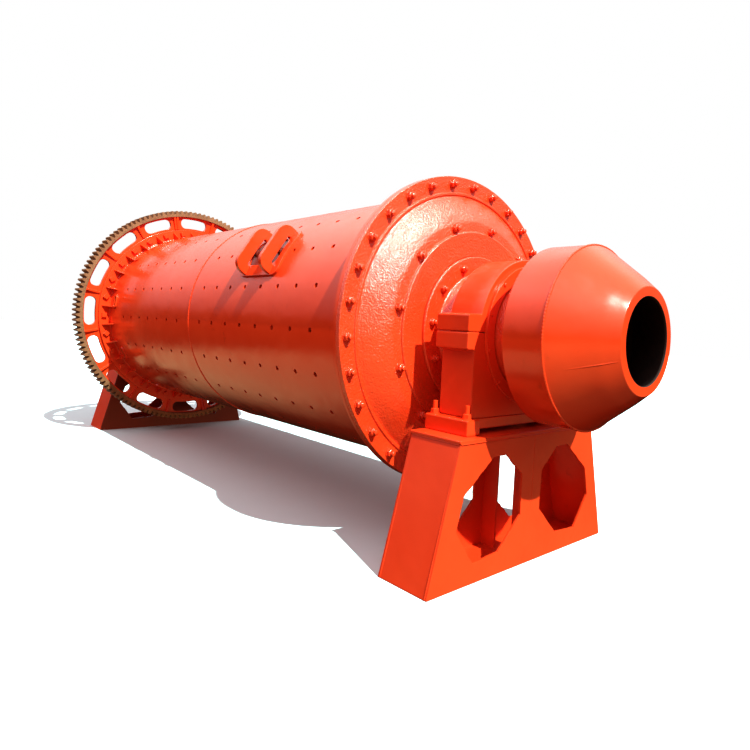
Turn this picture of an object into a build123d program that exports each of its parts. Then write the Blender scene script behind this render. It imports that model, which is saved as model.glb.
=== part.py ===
from build123d import *
import math
import os

# Overflow ball mill: a long steel drum turning on two trunnion bearings, with a drum feeder at the
# feed end (+X) and a girth gear at the drive end (-X).
# Millimetres, +Z up, drum axis along X. Lengths along the axis are first laid out from the outer
# face of the feed head's flange, with x growing towards the feeder. At the end all the pieces are
# moved so that the origin is the middle of the footprint, on the ground.

# Drum shell and its flanges
axis_height = 1405.0
shell_outer_radius = 935.0
shell_wall = 20.0
shell_length = 4466.0
feed_course_length = 2300.0
flange_width = 112.0
flange_bolt_count = 30
feed_shell_flange_thickness = 34.0
drive_shell_flange_thickness = 32.0

# Trunnions
journal_radius = 350.0
journal_wall = 90.0
trunnion_root_step = 34.0
trunnion_root_length = 60.0
trunnion_spigot_step = 40.0
trunnion_spigot_length = 30.0
trunnion_flange_width = 156.0
trunnion_flange_thickness = 55.0
trunnion_flange_proud = 19.0
trunnion_collar_width = 80.0
trunnion_collar_thickness = 25.0
feed_trunnion_tail = 205.0
drive_trunnion_tail = 108.0
spigot_clearance = 0.5

# Heads
head_flange_thickness = 36.0
head_wall = 55.0
head_ridge_inset = 116.0
head_ridge_width = 24.0
head_ridge_height = 10.0
head_ridge_slope = 3.0
head_shoulder_inset = 132.0
head_crown_rise = 106.0
head_crown_step = 63.5
head_crown_lean = 0.35
head_seat_width = 165.5
head_seat_step = 6.0
head_hub_step = 14.0

# Drum feeder
feeder_radius = 530.0
feeder_back_thickness = 25.0
feeder_drum_length = 255.0
feeder_drum_wall = 30.0
feeder_cone_length = 307.0
feeder_cone_wall = 43.0
feeder_mouth_radius = 295.0
feeder_mouth_lip = 54.0
feeder_mouth_land = 12.0

# Discharge throat
throat_flare = 52.0
throat_wall = 18.0
throat_length = 55.0

# Girth gear
gear_module = 18.0
gear_reach = 213.0
gear_root_depth = 22.5
gear_face = 170.0
gear_rim_thickness = 32.5
gear_rim_setback = 40.0
gear_web_thickness = 40.0
gear_web_overlap = 129.0
gear_slot_count = 16
gear_slot_hub_margin = 25.0
gear_slot_rim_margin = 17.0
gear_slot_half_angle = 8.0
gear_slot_corner = 52.0
gear_rib_thickness = 26.0
gear_rib_gap = 6.0
gear_rib_rim_inset = 6.0
gear_rib_foot = 14.0
gear_split_gap = 1.0
tooth_half_widths = {"root": 0.38, "pitch": 0.25, "tip": 0.12}

# Gussets behind the drive flange, and slotted pads on the shell beside them
gusset_first_angle = 8.5
gusset_length = 130.0
gusset_height = 92.0
gusset_heel = 8.0
gusset_thickness = 14.0
pad_count = 10
pad_first_angle = 29.0
pad_offset = 215.0
pad_length = 150.0
pad_width = 74.0
pad_height = 14.0
pad_slot_width = 34.0
pad_slot_length = 110.0

# Manhole
manhole_angle = 147.3
manhole_offset = 1267.0
manhole_opening_length = 400.0
manhole_opening_width = 230.0
manhole_corner = 60.0
manhole_frame_length = 540.0
manhole_frame_width = 410.0
manhole_frame_height = 18.0
manhole_cover_overlap = 25.0
manhole_cover_clearance = 2.0
manhole_cover_proud = 8.0
manhole_cover_lip = 22.0
yoke_spacing = 345.0
yoke_length = 400.0
yoke_thickness = 40.0
yoke_height = 126.0
yoke_depth = 93.0
yoke_corner = 88.0
yoke_gap_length = 250.0
yoke_gap_corner = 24.0

# Bearings
feed_bearing_gap = 162.0
drive_bearing_gap = 99.0
bearing_length = 248.0
bush_wall = 50.0
bush_clearance = 0.05
bearing_cap_wall = 65.0
bearing_shoulder = 40.0
bearing_ear_width = 61.0
bearing_ear_height = 101.0
bearing_split = 2.0
bearing_edge_radius = 6.0
seal_width = 25.0
seal_thickness = 20.0
seal_clearance = 6.0
sole_thickness = 92.0
sole_overhang = 10.0
sole_pad_width = 113.0
sole_front_reach = 40.0
sole_back_reach = 10.0
sole_bridge_thickness = 64.0

# Stands
stand_back_reach = 41.0
stand_front_reach = 95.0
stand_top_drop = 610.0
stand_top_margin = 106.5
stand_batter = 205.5
stand_plate = 16.0
stand_top_plate = 22.0
stand_top_overhang = 7.0
stand_rib_depth = 128.0
window_top_corners = [(106.0, 232.0), (265.0, 98.0), (388.0, 98.0), (631.0, 286.0)]
window_low_corners = [(682.0, 320.0), (530.0, 115.0), (300.0, 130.0), (99.0, 315.0)]

# Radii worked out from the sizes above
shell_inner_radius = shell_outer_radius - shell_wall
flange_radius = shell_outer_radius + flange_width
trunnion_bore_radius = journal_radius - journal_wall
trunnion_root_radius = journal_radius + trunnion_root_step
head_bore_radius = journal_radius + trunnion_spigot_step
trunnion_flange_radius = journal_radius + trunnion_flange_width
trunnion_collar_radius = journal_radius + trunnion_collar_width
head_seat_radius = trunnion_flange_radius + head_seat_width
head_crown_radius = head_seat_radius + head_crown_step
head_shoulder_radius = flange_radius - head_shoulder_inset
head_ridge_radius = flange_radius - head_ridge_inset
feeder_mouth_bore = feeder_mouth_radius - feeder_mouth_lip
gear_teeth = round(2 * (flange_radius + gear_reach) / gear_module)
gear_pitch_radius = gear_module * gear_teeth / 2
gear_tip_radius = gear_pitch_radius + gear_module
gear_root_radius = gear_pitch_radius - gear_root_depth
gear_rim_inner_radius = gear_root_radius - gear_rim_thickness
gear_web_bore = flange_radius - gear_web_overlap
gear_slot_inner_radius = flange_radius + gear_slot_hub_margin
gear_slot_outer_radius = gear_rim_inner_radius - gear_slot_rim_margin
bearing_seat_radius = journal_radius + bush_wall
bearing_cap_radius = bearing_seat_radius + bearing_cap_wall
bearing_half_width = bearing_cap_radius + bearing_shoulder
bearing_ear_half_width = bearing_half_width + bearing_ear_width
seal_radius = bearing_seat_radius + seal_width
sole_half_width = bearing_ear_half_width + sole_overhang
sole_inner_half_width = sole_half_width - sole_pad_width
stand_top_half_width = sole_half_width + stand_top_margin
stand_foot_half_width = stand_top_half_width + stand_batter
manhole_frame_radius = shell_outer_radius + manhole_frame_height

# Places along the axis, outwards from a head flange's outer face
head_seat_rise = head_crown_rise + head_seat_step
head_hub_rise = head_seat_rise + head_hub_step
trunnion_flange_rise = head_hub_rise + trunnion_flange_proud
trunnion_flange_back = trunnion_flange_rise - trunnion_flange_thickness
feed_bearing_start = trunnion_flange_rise + feed_bearing_gap
drive_bearing_start = trunnion_flange_rise + drive_bearing_gap
feed_trunnion_end = feed_bearing_start + bearing_length + feed_trunnion_tail
drive_trunnion_end = drive_bearing_start + bearing_length + drive_trunnion_tail
feeder_cone_start = feed_trunnion_end + feeder_drum_length
feeder_mouth = feeder_cone_start + feeder_cone_length
drive_stand_end = drive_bearing_start + bearing_length + stand_front_reach + stand_top_overhang
drive_reach = max(drive_trunnion_end + throat_length, drive_stand_end)

# Places along the axis in the layout, towards the drive end
feed_shell_start = -head_flange_thickness
feed_flange_back = feed_shell_start - feed_shell_flange_thickness
course_joint = feed_shell_start - feed_course_length
drive_flange_face = feed_shell_start - shell_length
drive_flange_back = drive_flange_face + drive_shell_flange_thickness
gear_web_back = drive_flange_face - gear_web_thickness
gear_rim_front = drive_flange_face + gear_rim_setback
gear_rim_back = gear_rim_front - gear_face
drive_head_face = gear_web_back - head_flange_thickness
drive_end = drive_head_face - drive_reach
origin_shift = Pos(-(feeder_mouth + drive_end) / 2, 0, axis_height)


def ring(x_from, x_to, inner, outer):
    """A plain ring about the drum axis between two places along it, a disc where inner is 0."""
    sketch = Circle(outer) - Circle(inner) if inner > 0 else Circle(outer)
    face = Plane.YZ.offset(min(x_from, x_to)) * sketch
    return extrude(face, amount=abs(x_to - x_from), dir=(1, 0, 0))


def turned(points):
    """A turned piece: a closed outline of (x, radius) points revolved about the drum axis."""
    outline = Polyline(*points, close=True)
    return revolve(make_face(outline), axis=Axis.X, revolution_arc=360)


def across(outline, x, length):
    """A (y, z) outline carried along the axis from x."""
    face = Plane.YZ.offset(x) * make_face(Polyline(*outline, close=True))
    return extrude(face, amount=length, dir=(1, 0, 0))


def mirrored_to_drive(piece):
    """A piece laid out from the feed head's face, turned round to the drive head's face."""
    return Pos(drive_head_face, 0, 0) * mirror(piece, about=Plane.YZ)


def radial_plane(x, angle, radius):
    """A plane touching the circle of that radius at that angle, with its own x along the drum."""
    turn = math.radians(angle)
    out = Vector(0, math.cos(turn), math.sin(turn))
    return Plane(origin=Vector(x, 0, 0) + out * radius, x_dir=(1, 0, 0), z_dir=out)


def curved_patch(x, angle, inner, outer, sketch):
    """A sketch carried out along the radius and kept between two radii, so it hugs the shell."""
    base = inner / 2
    block = extrude(radial_plane(x, angle, base) * sketch, amount=outer)
    return block & ring(x - outer, x + outer, inner, outer)


def flat_patch(x, angle, inner, low, high, sketch):
    """A sketch between two flat levels over the shell, cut away below the inner radius."""
    block = extrude(radial_plane(x, angle, low) * sketch, amount=high - low)
    return block - ring(x - inner, x + inner, 0, inner) if low < inner else block


def head():
    """Cast end head, feed side: flange, low ridge, domed shoulder, stepped hub with a counterbore."""
    flange_back = -head_flange_thickness
    ridge_out = head_ridge_radius + head_ridge_width / 2
    ridge_in = head_ridge_radius - head_ridge_width / 2
    counterbore = trunnion_flange_radius + spigot_clearance
    inner_crown = (head_crown_rise - head_wall, head_crown_radius - head_wall)
    crown = (head_crown_rise, head_crown_radius)
    shoulder = TangentArc(crown, (0, head_shoulder_radius), tangent=(-head_crown_lean, 1))
    outside = Polyline(
        (0, head_shoulder_radius),
        (0, ridge_in),
        (head_ridge_height, ridge_in + head_ridge_slope),
        (head_ridge_height, ridge_out - head_ridge_slope),
        (0, ridge_out),
        (0, flange_radius),
        (flange_back, flange_radius),
        (flange_back, head_shoulder_radius - head_wall / 2),
        inner_crown,
        (trunnion_flange_back - head_wall / 2, head_bore_radius),
        (trunnion_flange_back, head_bore_radius),
        (trunnion_flange_back, counterbore),
        (head_hub_rise, counterbore),
        (head_hub_rise, head_seat_radius),
        (head_seat_rise, head_seat_radius),
        crown,
    )
    outline = Wire([shoulder.edge(), *outside.edges()])
    return revolve(make_face(outline), axis=Axis.X, revolution_arc=360)


def trunnion(end):
    """Hollow trunnion, feed side: flange in the head's counterbore, journal and end collar."""
    root_end = trunnion_flange_rise + trunnion_root_length
    collar_start = end - trunnion_collar_thickness
    spigot_radius = head_bore_radius - spigot_clearance
    return turned(
        [
            (trunnion_flange_back - trunnion_spigot_length, trunnion_bore_radius),
            (trunnion_flange_back - trunnion_spigot_length, spigot_radius),
            (trunnion_flange_back, spigot_radius),
            (trunnion_flange_back, trunnion_flange_radius),
            (trunnion_flange_rise, trunnion_flange_radius),
            (trunnion_flange_rise, trunnion_root_radius),
            (root_end, journal_radius),
            (collar_start, journal_radius),
            (collar_start, trunnion_collar_radius),
            (end, trunnion_collar_radius),
            (end, trunnion_bore_radius),
        ]
    )


def feeder_drum():
    """Drum of the feeder: back disc on the trunnion's collar, and the cylinder."""
    inner = feeder_radius - feeder_drum_wall
    disc_front = feed_trunnion_end + feeder_back_thickness
    return turned(
        [
            (feed_trunnion_end, trunnion_bore_radius),
            (feed_trunnion_end, feeder_radius),
            (feeder_cone_start, feeder_radius),
            (feeder_cone_start, inner),
            (disc_front, inner),
            (disc_front, trunnion_bore_radius),
        ]
    )


def feeder_cone():
    """Cone of the feeder, from the drum's rim down to the round mouth."""
    slope = math.atan2(feeder_radius - feeder_mouth_radius, feeder_cone_length)
    wall_across = feeder_cone_wall / math.cos(slope)
    return turned(
        [
            (feeder_cone_start, feeder_radius),
            (feeder_mouth, feeder_mouth_radius),
            (feeder_mouth, feeder_mouth_bore),
            (feeder_mouth - feeder_mouth_land, feeder_mouth_bore),
            (feeder_cone_start, feeder_radius - wall_across),
        ]
    )


def discharge_throat():
    """Short flared ring on the drive trunnion's end, where the ground ore leaves."""
    back = drive_trunnion_end
    front = back + throat_length
    return turned(
        [
            (back, trunnion_bore_radius),
            (back, trunnion_bore_radius + throat_wall),
            (front, trunnion_bore_radius + throat_wall + throat_flare),
            (front, trunnion_bore_radius + throat_flare),
        ]
    )


def shell_course(x_from, x_to):
    return ring(x_from, x_to, shell_inner_radius, shell_outer_radius)


def flange_gussets():
    """Triangular gussets between the bolts, from the drive flange to the shell."""
    heel = shell_outer_radius + gusset_heel
    outline = Polyline(
        (drive_flange_back, 0),
        (drive_flange_back + gusset_length, 0),
        (drive_flange_back + gusset_length, heel),
        (drive_flange_back, shell_outer_radius + gusset_height),
        close=True,
    )
    wedge = extrude(make_face(outline), amount=gusset_thickness / 2, both=True)
    wedge -= ring(drive_flange_back, drive_flange_back + gusset_length, 0, shell_outer_radius)
    step = 360.0 / flange_bolt_count
    return Compound([Rot(gusset_first_angle + step * n, 0, 0) * wedge for n in range(flange_bolt_count)])


def gear_profile():
    """Outline of the toothed rim: tapered teeth about the pitch circle."""
    pitch = 360.0 / gear_teeth
    flank = [
        (gear_root_radius, tooth_half_widths["root"]),
        (gear_pitch_radius, tooth_half_widths["pitch"]),
        (gear_tip_radius, tooth_half_widths["tip"]),
    ]
    tooth = [(radius, -share) for radius, share in flank]
    tooth += reversed(flank)
    points = []
    for n in range(gear_teeth):
        for radius, share in tooth:
            turn = math.radians((n + share) * pitch)
            points.append((radius * math.cos(turn), radius * math.sin(turn)))
    return make_face(Polyline(*points, close=True))


def gear_slot():
    """One oblong slot of the web, bent along the ring, centred on the sketch's +X."""
    middle = (gear_slot_inner_radius + gear_slot_outer_radius) / 2
    blank = Circle(gear_slot_outer_radius) - Circle(gear_slot_inner_radius)
    reach = gear_slot_outer_radius * 2
    half = math.radians(gear_slot_half_angle)
    low = (reach * math.cos(half), -reach * math.sin(half))
    high = (reach * math.cos(half), reach * math.sin(half))
    wedge = make_face(Polyline((0, 0), low, high, close=True))
    slot = blank & wedge
    corners = [v for v in slot.vertices() if v.X > middle / 2]
    return fillet(corners, gear_slot_corner)


def gear_rib(web_face, rim_face):
    """Radial rib on one side of a spoke: deep at the rim, shallow at the hub."""
    inner = flange_radius + gear_rib_gap
    toward = 1.0 if rim_face > web_face else -1.0
    outline = Polyline(
        (web_face, inner),
        (web_face + toward * gear_rib_foot, inner),
        (rim_face, gear_rim_inner_radius),
        (web_face, gear_rim_inner_radius),
        close=True,
    )
    return extrude(make_face(outline), amount=gear_rib_thickness / 2, both=True)


def girth_gear():
    """Spoked girth gear: toothed rim, slotted web and a tapered rib on each side of each spoke."""
    rim_face = Plane.YZ.offset(gear_rim_back) * (gear_profile() - Circle(gear_rim_inner_radius))
    rim = extrude(rim_face, amount=gear_face, dir=(1, 0, 0))
    web_sketch = Circle(gear_rim_inner_radius) - Circle(gear_web_bore)
    step = 360.0 / gear_slot_count
    slot = gear_slot()
    for n in range(gear_slot_count):
        web_sketch -= Rot(0, 0, 90.0 + step * n) * slot
    web = extrude(Plane.YZ.offset(gear_web_back) * web_sketch, amount=gear_web_thickness, dir=(1, 0, 0))
    back_rib = gear_rib(gear_web_back, gear_rim_back + gear_rib_rim_inset)
    front_rib = gear_rib(drive_flange_face, gear_rim_front - gear_rib_rim_inset)
    ribs = []
    for n in range(gear_slot_count):
        turn = Rot(90.0 + step * (n + 0.5), 0, 0)
        ribs += [turn * back_rib, turn * front_rib]
    return rim + web + ribs


def gear_half(gear, side):
    """Half of the gear on one side of a plane through two opposite spokes."""
    split_angle = 90.0 + 360.0 / gear_slot_count / 2
    reach = 2 * gear_tip_radius + gear_face
    offset = reach / 2 + gear_split_gap / 2
    half_space = Pos(drive_flange_face, 0, 0) * Rot(split_angle, 0, 0) * Pos(0, 0, side * offset)
    return gear & half_space * Box(reach, reach, reach)


def shell_pads():
    """Oblong slotted pads round the shell, next to the drive flange."""
    x = drive_flange_face + pad_offset
    shape = SlotOverall(pad_length, pad_width, rotation=90)
    shape -= SlotOverall(pad_slot_length, pad_slot_width, rotation=90)
    low = shell_outer_radius - pad_height
    one = flat_patch(x, 0, shell_outer_radius, low, shell_outer_radius + pad_height, shape)
    step = 360.0 / pad_count
    return Compound([Rot(pad_first_angle + step * n, 0, 0) * one for n in range(pad_count)])


def manhole_outline(margin):
    """The opening's rounded outline, made wider all round by a margin."""
    length = manhole_opening_length + 2 * margin
    width = manhole_opening_width + 2 * margin
    return RectangleRounded(length, width, manhole_corner + margin)


def manhole_frame():
    shape = RectangleRounded(manhole_frame_length, manhole_frame_width, manhole_corner)
    shape -= manhole_outline(0)
    return curved_patch(-manhole_offset, manhole_angle, shell_outer_radius, manhole_frame_radius, shape)


def manhole_cover():
    """Cover held from inside: a lip against the shell's inner face and a plug in the opening."""
    top = shell_outer_radius + manhole_cover_proud
    lip_inner = shell_inner_radius - manhole_cover_lip
    lip = manhole_outline(manhole_cover_overlap)
    plug = manhole_outline(-manhole_cover_clearance)
    inside = curved_patch(-manhole_offset, manhole_angle, lip_inner, shell_inner_radius, lip)
    return inside + curved_patch(-manhole_offset, manhole_angle, lip_inner, top, plug)


def manhole_yoke(side):
    """Clamp yoke on edge: an arch over the opening, standing on the frame at both ends."""
    x = -manhole_offset + side * yoke_spacing / 2
    turn = math.radians(manhole_angle)
    upright = Plane(origin=(x, 0, 0), x_dir=(0, math.sin(turn), -math.cos(turn)), z_dir=(1, 0, 0))
    top = shell_outer_radius + yoke_height
    tall = 2 * yoke_height
    arch = Pos(0, top - tall / 2) * RectangleRounded(yoke_length, tall, yoke_corner)
    gap = Pos(0, top - yoke_depth - tall / 2) * RectangleRounded(yoke_gap_length, tall, yoke_gap_corner)
    plate = extrude(upright * (arch - gap), amount=yoke_thickness / 2, both=True)
    return plate - ring(x - yoke_thickness, x + yoke_thickness, 0, manhole_frame_radius)


def rounded_ears(body):
    """Rounds the upright edges of the housing's bolting ears."""
    limit = bearing_ear_half_width - bearing_edge_radius
    upright = body.edges().filter_by(Axis.Z)
    edges = [edge for edge in upright if abs(edge.center().Y) > limit]
    return fillet(edges, bearing_edge_radius)


def bearing_pedestal(start):
    """Lower half of the split housing: column with bolting ears at the split."""
    foot = -(stand_top_drop - stand_top_plate - sole_thickness)
    split = -bearing_split / 2
    under_ear = split - bearing_ear_height
    body = across(
        [
            (-bearing_half_width, foot),
            (bearing_half_width, foot),
            (bearing_half_width, under_ear),
            (bearing_ear_half_width, under_ear),
            (bearing_ear_half_width, split),
            (-bearing_ear_half_width, split),
            (-bearing_ear_half_width, under_ear),
            (-bearing_half_width, under_ear),
        ],
        start,
        bearing_length,
    )
    return rounded_ears(body - ring(start, start + bearing_length, 0, bearing_seat_radius))


def bearing_cap(start):
    """Upper half of the split housing: half cylinder with bolting ears at the split."""
    split = bearing_split / 2
    ear_top = split + bearing_ear_height
    width = bearing_ear_half_width
    ears = across([(-width, split), (width, split), (width, ear_top), (-width, ear_top)], start, bearing_length)
    dome = ring(start, start + bearing_length, 0, bearing_cap_radius)
    upper = across(
        [
            (-bearing_cap_radius, split),
            (bearing_cap_radius, split),
            (bearing_cap_radius, bearing_cap_radius),
            (-bearing_cap_radius, bearing_cap_radius),
        ],
        start,
        bearing_length,
    )
    body = (dome & upper) + ears
    return rounded_ears(body - ring(start, start + bearing_length, 0, bearing_seat_radius))


def sole_plate(start):
    """Foot of the bearing: two pads on the stand, joined by a raised bridge."""
    low = -(stand_top_drop - stand_top_plate)
    back = start - sole_back_reach
    front = start + bearing_length + sole_front_reach
    centre = (sole_half_width + sole_inner_half_width) / 2
    pad = Box(front - back, sole_pad_width, sole_thickness)
    pad = fillet(pad.edges().filter_by(Axis.Z), bearing_edge_radius)
    right = Pos((front + back) / 2, centre, low + sole_thickness / 2) * pad
    left = mirror(right, about=Plane.XZ)
    bridge = Box(bearing_length, 2 * sole_inner_half_width, sole_bridge_thickness)
    middle_height = low + sole_thickness - sole_bridge_thickness / 2
    return Pos(start + bearing_length / 2, 0, middle_height) * bridge + [left, right]


def bush(start):
    """White-metal bush between the journal and the housing's seat."""
    return ring(start, start + bearing_length, journal_radius + bush_clearance, bearing_seat_radius)


def seal(x):
    """Seal ring bolted to the housing's face round the trunnion."""
    return ring(x, x + seal_thickness, journal_radius + seal_clearance, seal_radius)


def stand_outline(inset):
    """The stand's tapered front view as (y, z) corners, from the ground up to its top plate."""
    low = stand_foot_half_width - inset
    high = stand_top_half_width - inset
    return [(-low, -axis_height), (low, -axis_height), (high, -stand_top_drop), (-high, -stand_top_drop)]


def stand_face_plate(x):
    """Front or rear plate of the stand, with its two torch-cut eight-sided windows."""
    corners = [(y, -stand_top_drop - drop) for y, drop in window_top_corners]
    corners += [(y, -axis_height + rise) for y, rise in window_low_corners]
    plate = across(stand_outline(0), x, stand_plate)
    for side in (-1, 1):
        plate -= across([(side * y, z) for y, z in corners], x, stand_plate)
    return plate


def stand_side_plate(start, length, side):
    """Sloping side plate between the two face plates."""
    picks = (0, 3) if side < 0 else (1, 2)
    outer = [stand_outline(0)[n] for n in picks]
    inner = [stand_outline(stand_plate)[n] for n in reversed(picks)]
    return across(outer + inner, start + stand_plate, length - 2 * stand_plate)


def stand_rib(x_from, x_to):
    """Upright stiffener on a face plate's middle post."""
    half = stand_plate / 2
    outline = [(-half, -axis_height), (half, -axis_height), (half, -stand_top_drop), (-half, -stand_top_drop)]
    return across(outline, x_from, x_to - x_from)


def stand_top(start, length):
    width = stand_top_half_width + stand_top_overhang
    top = -stand_top_drop + stand_top_plate
    outline = [(-width, -stand_top_drop), (width, -stand_top_drop), (width, top), (-width, top)]
    return across(outline, start - stand_top_overhang, length + 2 * stand_top_overhang)


def support(name, start):
    """Bearing and stand of one end, laid out from the feed head's face."""
    stand_from = start - stand_back_reach
    stand_length = stand_back_reach + bearing_length + stand_front_reach
    front_plate = stand_from + stand_length - stand_plate
    rear_plate_front = stand_from + stand_plate
    return {
        name + "_bearing_pedestal": bearing_pedestal(start),
        name + "_bearing_cap": bearing_cap(start),
        name + "_bearing_bush": bush(start),
        name + "_bearing_sole": sole_plate(start),
        name + "_outer_seal": seal(start + bearing_length),
        name + "_inner_seal": seal(start - seal_thickness),
        name + "_stand_top_plate": stand_top(stand_from, stand_length),
        name + "_stand_front_plate": stand_face_plate(front_plate),
        name + "_stand_rear_plate": stand_face_plate(stand_from),
        name + "_stand_left_plate": stand_side_plate(stand_from, stand_length, -1),
        name + "_stand_right_plate": stand_side_plate(stand_from, stand_length, 1),
        name + "_stand_front_rib": stand_rib(front_plate - stand_rib_depth, front_plate),
        name + "_stand_rear_rib": stand_rib(rear_plate_front, rear_plate_front + stand_rib_depth),
    }


def drum():
    """The turning pieces, laid out from the feed head's face."""
    cut_from = shell_inner_radius - shell_wall
    cut_to = shell_outer_radius + shell_wall
    cut = curved_patch(-manhole_offset, manhole_angle, cut_from, cut_to, manhole_outline(0))
    gear = girth_gear()
    return {
        "feed_shell_course": shell_course(course_joint, feed_shell_start) - cut,
        "drive_shell_course": shell_course(drive_flange_face, course_joint),
        "feed_shell_flange": ring(feed_flange_back, feed_shell_start, shell_outer_radius, flange_radius),
        "drive_shell_flange": ring(drive_flange_face, drive_flange_back, shell_outer_radius, flange_radius),
        "drive_flange_gussets": flange_gussets(),
        "shell_slotted_pads": shell_pads(),
        "feed_head": head(),
        "feed_trunnion": trunnion(feed_trunnion_end),
        "feeder_drum": feeder_drum(),
        "feeder_cone": feeder_cone(),
        "drive_head": mirrored_to_drive(head()),
        "drive_trunnion": mirrored_to_drive(trunnion(drive_trunnion_end)),
        "discharge_throat": mirrored_to_drive(discharge_throat()),
        "girth_gear_front_half": gear_half(gear, -1),
        "girth_gear_rear_half": gear_half(gear, 1),
        "manhole_frame": manhole_frame(),
        "manhole_cover": manhole_cover(),
        "manhole_feed_yoke": manhole_yoke(1),
        "manhole_drive_yoke": manhole_yoke(-1),
    }


parts = drum()
parts.update(support("feed", feed_bearing_start))
for name, piece in support("drive", drive_bearing_start).items():
    parts[name] = mirrored_to_drive(piece)
os.makedirs("parts", exist_ok=True)
for node, shape in parts.items():
    export_step(origin_shift * shape, f"parts/{node}.step")
print("origin moved by", origin_shift.position)
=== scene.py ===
import bpy
import numpy as np
from mathutils import Matrix, Vector
from mathutils.geometry import tessellate_polygon


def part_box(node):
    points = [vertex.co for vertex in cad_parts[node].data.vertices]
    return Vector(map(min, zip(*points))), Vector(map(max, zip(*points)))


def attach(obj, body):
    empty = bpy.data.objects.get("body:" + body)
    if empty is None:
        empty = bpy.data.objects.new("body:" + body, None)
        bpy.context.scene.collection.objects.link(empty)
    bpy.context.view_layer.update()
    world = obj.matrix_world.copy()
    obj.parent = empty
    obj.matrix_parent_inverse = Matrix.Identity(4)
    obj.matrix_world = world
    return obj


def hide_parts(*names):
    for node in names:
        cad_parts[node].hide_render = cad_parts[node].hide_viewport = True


# Ball mill: painted drum, heads, bearings, stands, drum feeder and a bare girth gear.
# Lengths are in metres. The pieces of an end are laid out from its head flange's outer face,
# x growing outwards along the axis, and are then placed at the feed or the drive end.
# A shell is (points, faces): four point numbers a face, the last one -1 in a triangle.

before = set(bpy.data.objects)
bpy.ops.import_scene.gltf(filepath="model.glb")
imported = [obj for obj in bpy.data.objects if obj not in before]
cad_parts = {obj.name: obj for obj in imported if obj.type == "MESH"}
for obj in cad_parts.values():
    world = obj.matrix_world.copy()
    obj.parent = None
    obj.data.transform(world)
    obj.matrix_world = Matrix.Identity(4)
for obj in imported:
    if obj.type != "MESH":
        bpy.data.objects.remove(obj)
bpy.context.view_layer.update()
headFlange = 0.036
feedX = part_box("feed_head")[0].x + headFlange
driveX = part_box("drive_head")[1].x - headFlange
axisZ = (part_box("feed_head")[0].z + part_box("feed_head")[1].z) / 2
smoothAngle = np.radians(38)


# Vectors over their own lengths.
def unit(vectors):
    return vectors / np.linalg.norm(vectors, axis=-1, keepdims=True)


# Points (x, radius cos, radius sin) round the axis; single values are spread over whole arrays.
def around(x, radius, turn):
    return np.stack(np.broadcast_arrays(x, radius * np.cos(turn), radius * np.sin(turn)), -1)


# Point (i, j) of a grid is number i * columns + j; each cell is a quad of four neighbours.
def gridFaces(rows, columns, closeRows=False, closeColumns=False):
    i = np.arange(rows if closeRows else rows - 1)[:, None]
    j = np.arange(columns if closeColumns else columns - 1)[None, :]
    nextI = (i + 1) % rows
    nextJ = (j + 1) % columns
    cells = [i * columns + j, nextI * columns + j, nextI * columns + nextJ, i * columns + nextJ]
    return np.stack(cells, -1).reshape(-1, 4)


# The same faces seen from behind: their points in the other order, a triangle's -1 still last.
def flipped(faces):
    triangle = faces[:, 3] < 0
    turned = faces[:, ::-1].copy()
    turned[triangle] = np.c_[faces[triangle][:, [2, 1, 0]], np.full(triangle.sum(), -1)]
    return turned


# Six times the volume inside, a . (b x c) + a . (c x d) summed over the faces, is above 0 when
# they point out; a shell where it isn't is flipped.
def outward(shell):
    points, faces = shell
    last = np.where(faces[:, 3] < 0, faces[:, 2], faces[:, 3])
    a, b, c, d = points[faces[:, 0]], points[faces[:, 1]], points[faces[:, 2]], points[last]
    volume = np.sum(a * np.cross(b, c)) + np.sum(a * np.cross(c, d))
    return (points, faces) if volume > 0 else (points, flipped(faces))


# Shells as one: a face's point numbers grow by the count of the points before its shell.
def joined(shells):
    starts = np.cumsum([0] + [len(points) for points, faces in shells[:-1]])
    moved = [np.where(faces >= 0, faces + start, -1) for (points, faces), start in zip(shells, starts)]
    return np.concatenate([points for points, faces in shells]), np.concatenate(moved)


# Copies of a shell: copy k has its points turned by turns[k] and moved by places[k].
def repeated(shell, turns, places):
    points, faces = shell
    moved = np.einsum("kab,nb->kna", turns, points) + places[:, None, :]
    steps = np.arange(len(places))[:, None, None] * len(points)
    copies = np.where(faces[None] >= 0, faces[None] + steps, -1)
    return moved.reshape(-1, 3), copies.reshape(-1, 4)


# Copies turned about the axis, y towards z, by each angle in degrees: rows of the turn are
# (1, 0, 0), (0, cos, -sin) and (0, sin, cos).
def spunRound(shell, angles):
    turn = np.radians(angles)
    zero, one = np.zeros_like(turn), np.ones_like(turn)
    rows = [one, zero, zero, zero, np.cos(turn), -np.sin(turn), zero, np.sin(turn), np.cos(turn)]
    return repeated(shell, np.stack(rows, -1).reshape(-1, 3, 3), np.zeros((len(turn), 3)))


# Angles of a full circle in even steps: first + 360 / count * n.
def evenly(first, count):
    return first + 360.0 / count * np.arange(count)


# Feed end: moved to its face. Drive end: x turned about, and the faces with it.
def placed(shell, end):
    if end == "feed":
        return shell[0] + (feedX, 0, axisZ), shell[1]
    return shell[0] * (-1, 1, 1) + (driveX, 0, axisZ), flipped(shell[1])


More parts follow.
